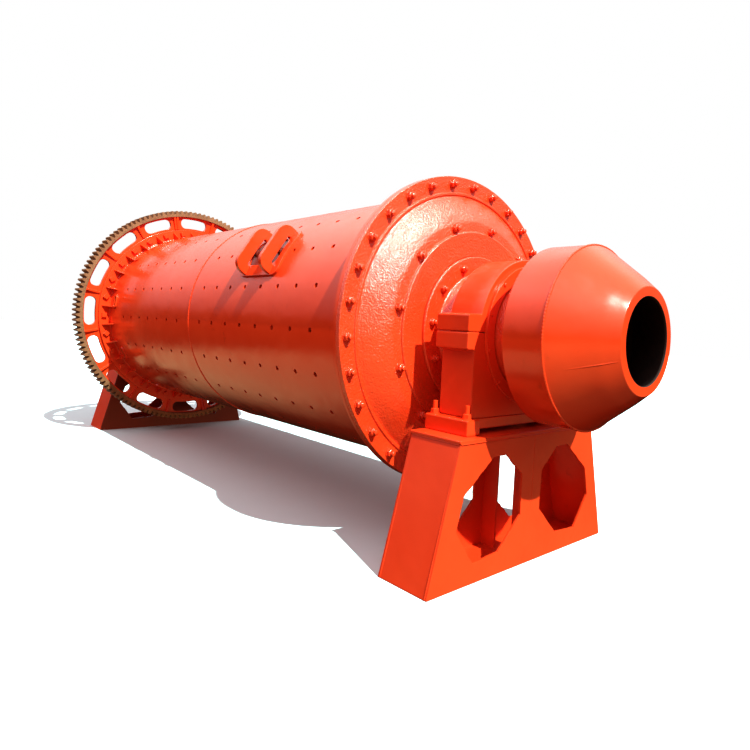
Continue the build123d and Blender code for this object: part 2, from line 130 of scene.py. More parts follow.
# Each corner becomes an arc that touches both edges at radius / tan(half the corner's angle), round
# a centre at radius / sin of it: its points lie on the great circle between the two touching
# points. A support point on either side keeps the flats flat when they are shaded.
def roundedPath(corners, radii, steps=4, support=0.0015):
    corners = np.array(corners, float)
    radii = np.broadcast_to(np.array(radii, float), len(corners))
    back = np.roll(corners, 1, 0) - corners
    ahead = np.roll(corners, -1, 0) - corners
    aheadLength = np.linalg.norm(ahead, axis=1)
    back, ahead = unit(back), unit(ahead)
    half = np.arccos(np.clip(np.sum(back * ahead, 1), -1, 1)) / 2
    straight = half > np.radians(89.4)
    touch = np.where(straight, 0, radii / np.tan(half))
    free = aheadLength - touch - np.roll(touch, -1)
    before = np.minimum(support, 0.3 * np.roll(free, 1))
    after = np.minimum(support, 0.3 * free)
    middle = (back + ahead) / np.maximum(np.linalg.norm(back + ahead, axis=1), 1e-9)[:, None]
    centre = corners + middle * np.where(straight, 0, radii / np.sin(half))[:, None]
    start = corners + back * touch[:, None] - centre
    end = corners + ahead * touch[:, None] - centre
    sweep = np.maximum(np.pi - 2 * half, 1e-6)[:, None, None]
    share = np.linspace(0, 1, steps + 1)[None, :, None]
    arc = np.sin((1 - share) * sweep) * start[:, None] + np.sin(share * sweep) * end[:, None]
    arc = arc / np.sin(sweep) + centre[:, None]
    first = (corners + back * (touch + before)[:, None])[:, None]
    last = (corners + ahead * (touch + after)[:, None])[:, None]
    path = np.concatenate([first, arc, last], 1).reshape(-1, corners.shape[1])
    gap = np.linalg.norm(path - np.roll(path, 1, 0), axis=1)
    return path[gap > 1e-6]


# The same from rows of (first, second, rounding).
def cornerPath(rows, steps=4):
    rows = np.array(rows, float)
    return roundedPath(rows[:, :2], np.maximum(rows[:, 2], 1e-5), steps)


# Rows of (y, z, rounding) from one side, then the other side's, y negated, in return order. Points
# on the middle line aren't doubled.
def bothSides(rows):
    rows = np.array(rows, float)
    other = rows[::-1] * (-1, 1, 1)
    return np.concatenate([rows, other[np.abs(other[:, 0]) > 1e-6]])


# Section of a turned ring: a rectangle in (x, radius).
def ringPath(xFrom, xTo, inner, outer, edge):
    return roundedPath([(xFrom, inner), (xTo, inner), (xTo, outer), (xFrom, outer)], edge)


# A closed outline, turned about unless half the sum of its cross products, its area, is above 0.
def anticlockwise(path, wanted=True):
    ahead = np.roll(path, -1, 0)
    area = np.sum(path[:, 0] * ahead[:, 1] - ahead[:, 0] * path[:, 1]) / 2
    return path if (area > 0) == wanted else path[::-1]


# Point (i, j): at the x of path point i, out by its radius in direction j of the circle. A relief
# gives each point a height along the path's outward normal.
def lathe(path, turns=96, relief=None):
    path = anticlockwise(path)
    theta = np.linspace(0, 2 * np.pi, turns, endpoint=False)
    x, radius = path[:, :1], path[:, 1:]
    points = around(x, radius, theta)
    if relief:
        run = unit(np.roll(path, -1, 0) - np.roll(path, 1, 0))
        height = relief(points)
        points = around(x + height * run[:, 1:], radius - height * run[:, :1], theta)
    return points.reshape(-1, 3), gridFaces(len(path), turns, True, True)


# Twice the mean of cosine waves of about one length in random directions: smooth unevenness.
def waves(points, length, seed, count=14):
    random = np.random.default_rng(seed)
    direction = unit(random.normal(size=(count, 3)))
    stretch = random.uniform(0.7, 1.5, count)
    phase = random.uniform(0, 2 * np.pi, count)
    angle = points @ (direction * stretch[:, None]).T * (2 * np.pi / length) + phase
    return np.cos(angle).mean(-1) * 2


# Each corner moves along the mean of its two edge normals, until both edges lie further in.
def insetLoop(loop, amount):
    ahead = unit(np.roll(loop, -1, 0) - loop)
    left = np.c_[-ahead[:, 1], ahead[:, 0]]
    before = np.roll(left, 1, 0)
    share = 1 + np.sum(left * before, 1)
    return loop + amount * (left + before) / np.maximum(share, 0.3)[:, None]


# Rounded edge of a plate: (distance in from its outline, height) along two quarter circles, from
# its back to its front.
def edgeProfile(low, high, rounding, steps=2, flat=0.0015):
    turn = np.linspace(0, np.pi / 2, steps + 1)
    inset = rounding * (1 - np.cos(turn))
    rise = rounding * (1 - np.sin(turn))
    flat = min(flat, (high - low - 2 * rounding) * 0.3)
    back = np.c_[inset[::-1], low + rise[::-1]]
    front = np.c_[inset, high - rise]
    supports = [[(rounding + flat, low)], back, [(0, low + rounding + flat)]]
    supports += [[(0, high - rounding - flat)], front, [(rounding + flat, high)]]
    return np.concatenate(supports)


# A flat piece's (first, second, height) to space: origin + first * across + second * up + height * out.
def flatMap(across, up, out, origin=(0, 0, 0)):
    axes = np.array([across, up, out], float)
    return lambda local: local @ axes + np.array(origin, float)


acrossAxis = flatMap((0, 1, 0), (0, 0, 1), (1, 0, 0))  # outline in (y, z), thickness along x
alongRadius = flatMap((1, 0, 0), (0, 1, 0), (0, 0, 1))  # outline in (x, radius), on the y side


# Rows of points for rings of (outline, height).
def stackedRings(rings):
    return np.stack([np.c_[loop, np.full(len(loop), height)] for loop, height in rings])


# A plate with any holes: every outline carried along the rounded edge profile, and both faces
# filled with triangles between the outlines, the holes' ones running the other way round.
def cutPlate(loops, low, high, rounding, mapping, steps=2):
    loops = [anticlockwise(loop, number == 0) for number, loop in enumerate(loops)]
    profile = edgeProfile(low, high, rounding, steps)
    shells, backs, fronts, start = [], [], [], 0
    for loop in loops:
        rings = stackedRings([(insetLoop(loop, inset), height) for inset, height in profile])
        shells.append((rings.reshape(-1, 3), gridFaces(len(profile), len(loop), False, True)))
        backs.append(np.arange(len(loop)) + start)
        fronts.append(np.arange(len(loop)) + start + (len(profile) - 1) * len(loop))
        start += len(profile) * len(loop)
    points, faces = joined(shells)
    for isFront, outlines in ((True, fronts), (False, backs)):
        corners = tessellate_polygon([[Vector(points[n]) for n in outline] for outline in outlines])
        fill = np.concatenate(outlines)[np.array(corners)]
        a, b, c = points[fill[:, 0]], points[fill[:, 1]], points[fill[:, 2]]
        wrong = (np.cross(b - a, c - a)[:, 2] > 0) == isFront
        fill[wrong] = fill[wrong][:, ::-1]
        faces = np.concatenate([faces, np.c_[fill, np.full(len(fill), -1)]])
    return outward((mapping(points), faces))


# A plate with one hole, both outlines with as many points: its faces are rings between them, at
# even shares of the way from one outline to the other.
def ringPlate(outer, inner, low, high, rounding, mapping, between=1):
    profile = edgeProfile(low, high, rounding)
    outer, inner = anticlockwise(outer), anticlockwise(inner)
    outside = [(insetLoop(outer, inset), height) for inset, height in profile]
    inside = [(insetLoop(inner, -inset), height) for inset, height in profile[::-1]]
    rings = []
    for edge, following, height in ((outside, inside, high), (inside, outside, low)):
        rings += edge
        for share in np.linspace(0, 1, between + 1)[1:-1]:
            rings.append((edge[-1][0] * (1 - share) + following[0][0] * share, height))
    points = mapping(stackedRings(rings).reshape(-1, 3))
    return outward((points, gridFaces(len(rings), len(outer), True, True)))


# Four quarter circles joined by straight sides, each with the same points.
def roundedRectangle(length, width, corner, arcSteps=6, sideSteps=6):
    turn = np.linspace(0, np.pi / 2, arcSteps + 1)
    share = np.linspace(0, 1, sideSteps + 1)[1:-1, None]
    arcs = []
    for quarter, (signX, signY) in enumerate([(1, 1), (-1, 1), (-1, -1), (1, -1)]):
        centre = np.array([signX * (length / 2 - corner), signY * (width / 2 - corner)])
        angle = turn + quarter * np.pi / 2
        arcs.append(centre + corner * np.c_[np.cos(angle), np.sin(angle)])
    loop = []
    for arc, following in zip(arcs, arcs[1:] + arcs[:1]):
        loop += [arc, arc[-1] * (1 - share) + following[0] * share]
    return np.concatenate(loop)


# A flat bar between two corners: its rounded rectangle in (y, z) as a plate along x.
def boxPlate(lowCorner, highCorner, rounding):
    (x0, y0, z0), (x1, y1, z1) = lowCorner, highCorner
    outline = roundedPath([(y0, z0), (y1, z0), (y1, z1), (y0, z1)], rounding + 0.003, 3)
    return cutPlate([outline], x0, x1, rounding, acrossAxis)


# Width and height of each bead, and the points round a round one.
beads = {
    "course": (0.016, 0.005, 1080),
    "flange": (0.016, 0.009, 1080),
    "feederCone": (0.014, 0.006, 900),
    "feederBack": (0.014, 0.008, 720),
    "coneSeam": (0.009, 0.0018),
    "standCorner": (0.010, 0.003),
    "standSide": (0.010, 0.005),
    "standTop": (0.012, 0.005),
    "ribMark": (0.010, 0.0015),
}


# Weld bead: an ellipse carried along a path, its size 1 + 0.1 cos(2 pi length / pitch) + waves.
def weldBead(path, out, width, height, pitch, closed=False):
    step = np.roll(path, -1, 0) - path if closed else np.gradient(path, axis=0)
    side = unit(np.cross(out, step))
    length = np.cumsum(np.linalg.norm(step, axis=1))
    size = 1 + 0.1 * np.cos(2 * np.pi * length / pitch) + 0.12 * waves(path, 0.05, 5)
    turn = np.linspace(0, 2 * np.pi, 8, endpoint=False)[None, :, None]
    ring = side[:, None] * np.cos(turn) * width / 2 + out[:, None] * np.sin(turn) * height
    points = (path[:, None] + size[:, None, None] * ring).reshape(-1, 3)
    faces = gridFaces(len(path), 8, closed, True)
    if not closed:
        cap = np.array([[0, 1, 2, 3], [0, 3, 4, 7], [4, 5, 6, 7]])
        faces = np.concatenate([faces, flipped(cap), cap + (len(path) - 1) * 8])
    return outward((points, faces))


# A bead on the line start + share * (end - start), facing out.
def straightWeld(start, end, out, width, height):
    start, end = np.array(start, float), np.array(end, float)
    count = int(np.linalg.norm(end - start) / 0.004)
    path = start + np.linspace(0, 1, count)[:, None] * (end - start)
    outs = np.tile(unit(np.array(out, float)), (count, 1))
    return weldBead(path, outs, width, height, 0.016)


# A bead on the circle (x, radius cos, radius sin), its face leaning from the radius towards x.
def roundWeld(x, radius, lean, width, height, count):
    theta = np.linspace(0, 2 * np.pi, count, endpoint=False)
    radial = around(0, 1, theta)
    lean = np.radians(lean)
    out = radial * np.cos(lean) + np.array([np.sin(lean), 0, 0])
    return weldBead(radial * radius + (x, 0, 0), out, width, height, 2 * np.pi * radius / 180, True)


# A grid of closed rings, with a fan of triangles from each end ring to its pole.
def capped(points, rows, columns, lowPole, highPole):
    j = np.arange(columns)
    following = (j + 1) % columns
    closing = np.full(columns, -1)
    upper = (rows - 1) * columns
    lowFan = np.stack([np.full(columns, len(points)), j, following, closing], -1)
    highFan = np.stack([np.full(columns, len(points) + 1), upper + following, upper + j, closing], -1)
    faces = np.concatenate([gridFaces(rows, columns, False, True), lowFan, highFan])
    return outward((np.concatenate([points, [lowPole], [highPole]]), faces))


# A fastener from rings of (height, radius in each direction): (radius cos, radius sin, height).
def fastener(rings, turn):
    radius = np.stack([size + 0 * turn for height, size in rings])
    level = np.array([height for height, size in rings])[:, None] + 0 * turn
    points = np.stack([radius * np.cos(turn), radius * np.sin(turn), level], -1).reshape(-1, 3)
    return capped(points, len(rings), len(turn), (0, 0, rings[0][0]), (0, 0, rings[-1][0]))


# What all nuts and heads share: lengths, and as shares of the flats or of a radius the chamfers.
nut = {"sunk": 0.004, "washer": 0.004, "chamfer": 0.07, "crown": 0.9, "studEnd": 0.002, "studTip": 0.8}


# Twelve points a ring: the hexagon's corners, at half the flats / cos 30, and the middles of its
# flats. Rings climb from the washer over the nut's chamfer to the stud's end.
def hexBolt(flats, height, stud=0.0, proud=0.0, washer=0.0):
    apothem = flats / 2
    hexagon = np.where(np.arange(12) % 2 == 0, apothem / np.cos(np.radians(30)), apothem)
    base = nut["washer"] if washer else 0.0
    top = base + height
    rings = [(-nut["sunk"], washer or hexagon)] + [(base, washer)] * bool(washer)
    rings += [(base, hexagon), (top - nut["chamfer"] * flats, hexagon), (top, nut["crown"] * apothem)]
    if stud:
        end = top + proud
        rings += [(top, stud), (end, stud), (end + nut["studEnd"], nut["studTip"] * stud)]
    return fastener(rings, np.radians(30) * np.arange(12))


# Eight points a ring: the square's corners, at the flats / root 2, and the middles of its flats.
def squareBolt(flats, height):
    square = np.where(np.arange(8) % 2 == 0, flats / np.sqrt(2), flats / 2)
    rings = [(-nut["sunk"], square), (height - 0.003, square), (height, square * nut["crown"])]
    return fastener(rings, np.radians(45) * np.arange(8) + np.radians(45))


# Bolts at places: each one's z laid along the direction, and its own x and y turned about it by a
# seeded angle of up to 60 degrees.
def boltsAt(bolt, places, direction, seed):
    places = np.array(places, float)
    out = np.tile(unit(np.array(direction, float)), (len(places), 1))
    helper = np.where(np.abs(out[:, :1]) > 0.8, [[0.0, 0.0, 1.0]], [[1.0, 0.0, 0.0]])
    first = unit(np.cross(helper, out))
    second = np.cross(out, first)
    turn = np.radians(np.random.default_rng(seed).uniform(0, 60, len(places)))[:, None]
    own = [first * np.cos(turn) + second * np.sin(turn), second * np.cos(turn) - first * np.sin(turn)]
    return repeated(bolt, np.stack([*own, out], -1), places)


# Bolts at (x, radius cos, radius sin), facing along the axis.
def boltCircle(bolt, x, radius, angles, facing, seed):
    return boltsAt(bolt, around(x, radius, np.radians(angles)), (facing, 0, 0), seed)


boltSizes = {
    "flange": {"flats": 0.046, "height": 0.024, "stud": 0.015, "proud": 0.018, "washer": 0.031},
    "flangeHead": {"flats": 0.046, "height": 0.019, "washer": 0.030},
    "inner": {"flats": 0.046, "height": 0.024, "stud": 0.015, "proud": 0.016, "washer": 0.031},
    "trunnion": {"flats": 0.041, "height": 0.021, "stud": 0.0135, "proud": 0.014, "washer": 0.027},
    "seal": {"flats": 0.019, "height": 0.008},
    "sole": {"flats": 0.046, "height": 0.026, "stud": 0.015, "proud": 0.045, "washer": 0.031},
    "ear": {"flats": 0.030, "height": 0.003},
    "clamp": {"flats": 0.050, "height": 0.014, "stud": 0.014, "proud": 0.010, "washer": 0.034},
}
squareSizes = {"flats": 0.05, "height": 0.028}  # of the drive flange
bolts = {name: hexBolt(**size) for name, size in boltSizes.items()}


# One mesh from shells laid out at an end, each with its material's number if that isn't 0, shaded
# smooth where faces meet at less than the smooth angle. It replaces the CAD nodes it stands for.
def meshPiece(name, end, shells, materials, body, slotName, *nodes):
    points, faces = joined([placed(shell[:2], end) for shell in shells])
    numbers = [np.full(len(shell[1]), shell[2] if len(shell) > 2 else 0) for shell in shells]
    count = np.where(faces[:, 3] < 0, 3, 4)
    corners = faces.ravel()
    corners = corners[corners >= 0]
    mesh = bpy.data.meshes.new(name)
    mesh.vertices.add(len(points))
    mesh.vertices.foreach_set("co", points.astype(np.float32).ravel())
    mesh.loops.add(len(corners))
    mesh.loops.foreach_set("vertex_index", corners.astype(np.int32))
    mesh.polygons.add(len(count))
    mesh.polygons.foreach_set("loop_start", (np.cumsum(count) - count).astype(np.int32))
    mesh.polygons.foreach_set("material_index", np.concatenate(numbers).astype(np.int32))
    mesh.update(calc_edges=True)
    mesh.validate()
    mesh.polygons.foreach_set("use_smooth", np.ones(len(mesh.polygons), bool))
    mesh.set_sharp_from_angle(angle=smoothAngle)
    for material in materials:
        mesh.materials.append(material)
    piece = bpy.data.objects.new(name, mesh)
    bpy.context.scene.collection.objects.link(piece)
    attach(piece, body)
    if nodes:
        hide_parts(*nodes)


# A node's sockets set to plain values, or linked where the value is another node's socket. A colour
# of three numbers is made opaque.
def setSockets(tree, node, sockets):
    for name, value in sockets.items():
        socket = node.inputs[name]
        if isinstance(value, bpy.types.NodeSocket):
            tree.links.new(value, socket)
        else:
            socket.default_value = (*value, 1) if socket.type == "RGBA" else value


# A new node of a kind, with its sockets.
def addNode(tree, kind, sockets={}):
    node = tree.nodes.new("ShaderNode" + kind)
    setSockets(tree, node, sockets)
    return node


# A material of one Principled shader, and the object's own coordinates for its patterns.
def nodeMaterial(name):
    material = bpy.data.materials.new(name)
    material.use_nodes = True
    tree = material.node_tree
    tree.nodes.clear()
    shader = addNode(tree, "BsdfPrincipled")
    addNode(tree, "OutputMaterial", {"Surface": shader.outputs["BSDF"]})
    return material, tree, shader, addNode(tree, "TexCoord").outputs["Object"]


# Fractal noise from 0 to 1 with cells of about 1 / scale, longer where a stretch is under 1.
def noise(tree, where, scale, detail=3.0, roughness=0.55, stretch=None):
    if stretch:
        where = addNode(tree, "Mapping", {"Vector": where, "Scale": stretch}).outputs["Vector"]
    sockets = {"Vector": where, "Scale": scale, "Detail": detail, "Roughness": roughness}
    return addNode(tree, "TexNoise", sockets).outputs["Fac"]


# The value carried from low and high to start and end in a straight line, and held beyond them.
def ramp(tree, value, low, high, start=0.0, end=1.0):
    sockets = {"Value": value, "From Min": low, "From Max": high, "To Min": start, "To Max": end}
    return addNode(tree, "MapRange", sockets).outputs["Result"]


# first * second
def product(tree, first, second):
    node = addNode(tree, "Math", {0: first, 1: second})
    node.operation = "MULTIPLY"
    return node.outputs[0]


# first * (1 - share) + second * share, of colours or of sockets that carry them.
def blendColour(tree, share, first, second):
    node = addNode(tree, "Mix")
    node.data_type = "RGBA"
    setSockets(tree, node, {0: share, 6: first, 7: second})
    return node.outputs[2]


# Layers of (height, strength, distance), each one tilting the normal that the last one left.
def bump(tree, shader, layers):
    tilted = {}
    for height, strength, distance in layers:
        sockets = {"Height": height, "Strength": strength, "Distance": distance, **tilted}
        tilted = {"Normal": addNode(tree, "Bump", sockets).outputs["Normal"]}
    setSockets(tree, shader, tilted)


# Patterns are a noise, as (scale, detail, roughness, stretch), and the two levels it is cut between.
# Layers of bump are a noise, a strength and a depth.
enamel = {
    "fading": ((1.6, 4), (0.35, 0.7)),
    "spots": ((11.0, 5, 0.65), (0.58, 0.78)),
    "streaks": ((3.0, 4, 0.6, (1.0, 1.0, 0.12)), (0.56, 0.8)),
    "sheen": ((7.0, 4), (0.3, 0.75)),
    "sheenSpread": 0.14,
    "peel": [((240.0, 2), 0.12, 0.001), ((5.0, 2), 0.25, 0.012)],
    "castGrain": [((85.0, 3, 0.6), 0.9, 0.006), ((22.0, 3), 0.3, 0.008)],
}


# A pattern's noise, carried from between its two levels to start and end.
def patterned(tree, where, pattern, *startAndEnd):
    cells, levels = pattern
    return ramp(tree, noise(tree, where, *cells), *levels, *startAndEnd)


# Enamel over steel: two tones mixed by slow fading, grime where fine spots meet thin streaks, and
# an uneven gloss over orange peel, with a casting's grain under it on a cast piece.
def enamelPaint(name, tone, faded, grime, gloss, cast=False, shine=0.5):
    material, tree, shader, where = nodeMaterial(name)
    base = blendColour(tree, patterned(tree, where, enamel["fading"]), tone, faded)
    spots, streaks = (patterned(tree, where, enamel[name]) for name in ("spots", "streaks"))
    base = blendColour(tree, product(tree, spots, streaks), base, grime)
    rough = patterned(tree, where, enamel["sheen"], gloss, gloss + enamel["sheenSpread"])
    setSockets(tree, shader, {"Base Color": base, "Roughness": rough, "Specular IOR Level": shine})
    layers = enamel["peel"] + (enamel["castGrain"] if cast else [])
    bump(tree, shader, [(noise(tree, where, *cells), *depth) for cells, *depth in layers])
    return material


# A bare surface: two tones mixed by a pattern of patches, one bump by its grain or by the patches
# themselves, and a third tone where there are pits.
def bareSurface(name, tones, patches, grain, depth, roughness, metallic=0.0, pits=None):
    material, tree, shader, where = nodeMaterial(name)
    share = patterned(tree, where, patches)
    base = blendColour(tree, share, *tones[:2])
    if pits:
        base = blendColour(tree, patterned(tree, where, pits), base, tones[2])
    setSockets(tree, shader, {"Base Color": base, "Roughness": roughness, "Metallic": metallic})
    bump(tree, shader, [(noise(tree, where, *grain) if grain else share, *depth)])
    return material


paintTones = {
    "tone": (0.80, 0.060, 0.012),
    "faded": (0.84, 0.074, 0.017),
    "grime": (0.36, 0.030, 0.009),
}
# Tones of the darkened enamel: partly grease, partly painted shade.
greaseAndShadeTones = {
    "tone": (0.17, 0.016, 0.007),
    "faded": (0.24, 0.022, 0.009),
    "grime": (0.035, 0.012, 0.008),
}
redEnamel = enamelPaint("redEnamel", **paintTones, gloss=0.13)
castEnamel = enamelPaint("roughCastEnamel", **paintTones, gloss=0.16, cast=True, shine=0.9)
plateEnamel = enamelPaint("plateEnamel", **paintTones, gloss=0.30)
# Darkened enamel, part grease and part painted shade: on the drive stand's plates under the gear and on the
# manhole cover under its yokes.
greaseAndShadeEnamel = enamelPaint("greasyPlateEnamel", **greaseAndShadeTones, gloss=0.35)  # plates near the gear
gearRust = bareSurface(  # cast steel gone to light rust, dry, with darker pits
    "rustyGearSteel",
    tones=((0.24, 0.094, 0.042), (0.36, 0.158, 0.076), (0.10, 0.045, 0.025)),
    patches=((9.0, 6, 0.65), (0.35, 0.7)),
    pits=((70.0, 4, 0.7), (0.52, 0.72)),
    grain=(55.0, 5, 0.7),
    depth=(0.4, 0.003),
    roughness=0.62,
    metallic=0.15,
)
bearingMetal = bareSurface(  # bright, with fine rings about the drum's axis
    "turnedBearingMetal",
    tones=((0.46, 0.44, 0.40), (0.62, 0.60, 0.56)),
    patches=((300.0, 3, 0.6, (3.0, 0.4, 0.4)), (0.3, 0.7)),
    grain=None,
    depth=(0.15, 0.0005),
    roughness=0.36,
    metallic=0.9,
)
# Near-black bare steel: mill scale and dust, darker still as painted shade inside the feeder and in the
# pads' slots.
innerSteelAndShade = bareSurface(  # unpainted insides: dark mill scale and dust
    "darkInnerSteelAndShade",
    tones=((0.030, 0.010, 0.007), (0.070, 0.022, 0.013)),
    patches=((14.0, 5, 0.65), (0.3, 0.7)),
    grain=(90.0, 3),
    depth=(0.3, 0.002),
    roughness=0.7,
)
print("materials made")


drum = {
    "outer": 0.935,
    "wall": 0.020,
    "holeRadius": 0.017,
    "holeRows": 20,
    "firstRow": 2.95,
    "firstHole": -0.465,
    "holePitch": 0.236,
    "holesInRow": 16,
    "holeSquare": 0.03,  # half the side of the square of cells round a hole
    "gridSteps": (0.075, 2.6),  # along x, and in degrees
    "courseJoint": -2.336,
    "driveFace": -4.502,
}
manhole = {
    "angle": 147.3,
    "x": -1.267,
    "opening": (0.400, 0.230),
    "frame": (0.540, 0.410),
    "frameHeight": 0.018,
    "corner": 0.060,
    "lip": (0.025, 0.022),  # overlap and thickness
    "clearance": 0.002,
    "proud": 0.008,
    "yokeSpacing": 0.345,
    "yoke": (0.400, 0.040, 0.126),  # length, thickness and height over the shell
    "yokeDepth": 0.093,
    "yokeCorner": 0.088,
    "gap": 0.250,
}


# Signed difference of two angles, from -180 to 180 degrees.
def apart(first, second):
    return (first - second + 180) % 360 - 180


# Liner holes under the manhole's frame: those within half its length, and within half its arc,
# width / radius, of its middle, with a little to spare.
def underManhole(columns, rows):
    length, width = manhole["frame"]
    nearX = np.abs(columns - manhole["x"]) < length / 2 + 0.02
    nearAngle = np.abs(apart(rows, manhole["angle"])) < np.degrees(width / 2 / drum["outer"]) + 1.5
    return nearX[:, None] & nearAngle


# Grid lines: four cells across each hole's square, and even ones of about a step between squares.
def squareLines(centres, half, low, high, step):
    edges = np.sort(np.concatenate([[low], centres - half, centres + half, [high]]))
    edges = edges[np.r_[True, np.diff(edges) > 1e-6]]
    lines = []
    for start, end in zip(edges[:-1], edges[1:]):
        inHole = np.any(np.abs(centres - (start + end) / 2) < half * 0.5)
        count = 4 if inHole else max(1, int(np.ceil((end - start) / step)))
        lines.append(np.linspace(start, end, count, endpoint=False))
    return np.concatenate(lines + [[high]])


# The sixteen border points of a square of four by four cells, side by side.
def squareBorder():
    step = np.arange(4)
    zero, four = np.zeros(4, int), np.full(4, 4)
    sides = [(step, zero), (four, step), (4 - step, four), (zero, 4 - step)]
    return np.concatenate([np.transpose(side) for side in sides])


# Quads from closed rows of outer points to the inner points, whose numbers are higher by a step.
def wallFaces(loops, step):
    following = np.roll(loops, -1, -1)
    return np.stack([loops, following, following + step, loops + step], -1).reshape(-1, 4)


# Faces flipped where their normal, (b - a) x (c - a), looks against the wanted direction.
def facing(points, faces, wanted):
    a, b, c = points[faces[:, 0]], points[faces[:, 1]], points[faces[:, 2]]
    wrong = np.sum(np.cross(b - a, c - a) * wanted, 1) < 0
    return np.where(wrong[:, None], faces[:, ::-1], faces)


# One course: a grid of x and angle. Round each liner hole a square of its cells gives way to
# sixteen quads from the square's border to the hole's circle. The inside is the same grid at the
# inner radius, and walls close the holes and both ends.
def shellCourse(xFrom, xTo):
    outer, square = drum["outer"], drum["holeSquare"]
    xStep, angleStep = drum["gridSteps"]
    columns = drum["firstHole"] - drum["holePitch"] * np.arange(drum["holesInRow"])
    columns = columns[(columns < xFrom - 1.5 * square) & (columns > xTo + 1.5 * square)]
    rows = evenly(drum["firstRow"], drum["holeRows"])
    halfAngle = np.degrees(square / outer)
    start = rows[0] - halfAngle
    xs = squareLines(columns, square, xTo, xFrom, xStep)
    angles = squareLines(rows, halfAngle, start, start + 360, angleStep)[:-1]
    index = np.arange(len(xs) * len(angles)).reshape(len(xs), -1)
    wanted = ~underManhole(columns, rows)
    nearX = np.abs(xs[:, None] - columns) < square + 1e-6
    nearAngle = np.abs(apart(angles[:, None], rows)) < halfAngle + 1e-6
    cellX, cellAngle = nearX[:-1] & nearX[1:], nearAngle & np.roll(nearAngle, -1, 0)
    cut = cellX.astype(int) @ wanted.astype(int) @ cellAngle.T.astype(int) > 0
    faces = gridFaces(len(xs), len(angles), False, True)[~cut.ravel()]
    grid = np.stack(np.broadcast_arrays(xs[:, None], np.radians(angles)), -1).reshape(-1, 2)
    column, row = np.nonzero(wanted)
    border = squareBorder()
    firstX = np.argmin(np.abs(xs - (columns[column] - square)[:, None]), 1)[:, None]
    firstAngle = np.argmin(np.abs(apart(angles, (rows[row] - halfAngle)[:, None])), 1)[:, None]
    squares = index[firstX + border[:, 0], (firstAngle + border[:, 1]) % len(angles)]
    turn = np.arctan2(border[:, 1] - 2, border[:, 0] - 2)
    circle = drum["holeRadius"] * np.c_[np.cos(turn), np.sin(turn) / outer]
    circles = np.c_[columns[column], np.radians(rows[row])][:, None] + circle
    holes = len(grid) + np.arange(squares.size).reshape(squares.shape)
    collar = np.stack([squares, holes, np.roll(holes, -1, 1), np.roll(squares, -1, 1)], -1)
    faces = np.concatenate([faces, collar.reshape(-1, 4)])
    used = np.unique(faces)
    renumber = np.full(len(grid) + squares.size, -1)
    renumber[used] = np.arange(len(used))
    flat = np.concatenate([grid, circles.reshape(-1, 2)])[used]
    faces = renumber[faces]
    walls, low, high = [wallFaces(renumber[loops], len(flat)) for loops in (holes, index[0], index[-1])]
    radii = outer, outer - drum["wall"]
    points = np.concatenate([around(flat[:, 0], radius, flat[:, 1]) for radius in radii])
    away = points[faces].mean(1) * (0, 1, 1)
    wallMiddle = points[walls].mean(1)
    holeMiddle = np.repeat(wallMiddle.reshape(-1, 16, 3).mean(1), 16, 0)
    sets = [(faces, away), (faces + len(flat), -away), (walls, holeMiddle - wallMiddle)]
    sets += [(low, (-1, 0, 0)), (high, (1, 0, 0))]
    return points, np.concatenate([facing(points, cells, towards) for cells, towards in sets])


joint = drum["courseJoint"]
for end, xFrom, xTo in (("feed", -headFlange, joint), ("drive", joint, drum["driveFace"])):
    course = shellCourse(xFrom, xTo)
    meshPiece(end + "Course", "feed", [course], [redEnamel], "drum", "shell_paint", end + "_shell_course")
seam = roundWeld(joint, drum["outer"] + 0.001, 0, *beads["course"])
meshPiece("courseWeld", "feed", [seam], [redEnamel], "drum", "shell_paint")
print("shell made")


head = {
    "flange": 1.047,
    "ridge": (0.919, 0.943, 0.010),  # inner and outer radius, and rise
    "shoulder": 0.915,
    "crown": (0.106, 0.735),  # x and radius, as for the seat
    "crownRound": 0.085,
    "domeLean": 0.35,
    "seat": (0.112, 0.6715),
    "hub": 0.126,
    "counterbore": 0.5065,
    "bore": 0.390,
    "seatBack": 0.090,
    "wall": 0.055,
    "dents": 0.0011,
}


# A circular arc that leaves its start along a given lean: its radius is chord . chord over
# 2 chord . normal, with the normal square to the lean.
def shoulderArc(start, end, lean, count):
    start, end = np.array(start), np.array(end)
    normal = -np.array([1.0, lean]) / np.hypot(lean, 1.0)
    chord = end - start
    radius = chord @ chord / (2 * chord @ normal)
    centre = start + normal * radius
    first = np.arctan2(*(start - centre)[::-1])
    last = np.arctan2(*(end - centre)[::-1])
    last = first + (last - first + np.pi) % (2 * np.pi) - np.pi
    turn = np.linspace(first, last, count)
    return centre + abs(radius) * np.c_[np.cos(turn), np.sin(turn)]


# Section of the head: rows of (x, radius, rounding), from the back of its flange through the bore
# and over the hub and the dome to its flange's face.
def headPath():
    ridgeIn, ridgeOut, ridgeUp = head["ridge"]
    seatX, seat = head["seat"]
    wall, back, hub, shoulder = head["wall"], head["seatBack"], head["hub"], head["shoulder"]
    dome = shoulderArc(head["crown"], (0, shoulder), head["domeLean"], 16)
    rows = [
        (-headFlange, head["flange"], 0.003),
        (-headFlange, shoulder - wall / 2, 0.01),
        (head["crown"][0] - wall, head["crown"][1] - wall, 0.03),
        (back - wall / 2, head["bore"], 0.004),
        (back, head["bore"], 0.002),
        (back, head["counterbore"], 0.002),
        (hub, head["counterbore"], 0.004),
        (hub, seat, 0.011),
        (seatX, seat, 0.003),
        (*dome[0], head["crownRound"]),
        *[(*point, 0) for point in dome[1:-1]],
        (0.0015, shoulder + 0.0015, 0.0025),
        (ridgeUp, ridgeIn + 0.004, 0.004),
        (ridgeUp, ridgeOut - 0.005, 0.005),
        (0, ridgeOut, 0.003),
        (0, head["flange"], 0.004),
    ]
    return cornerPath(rows)


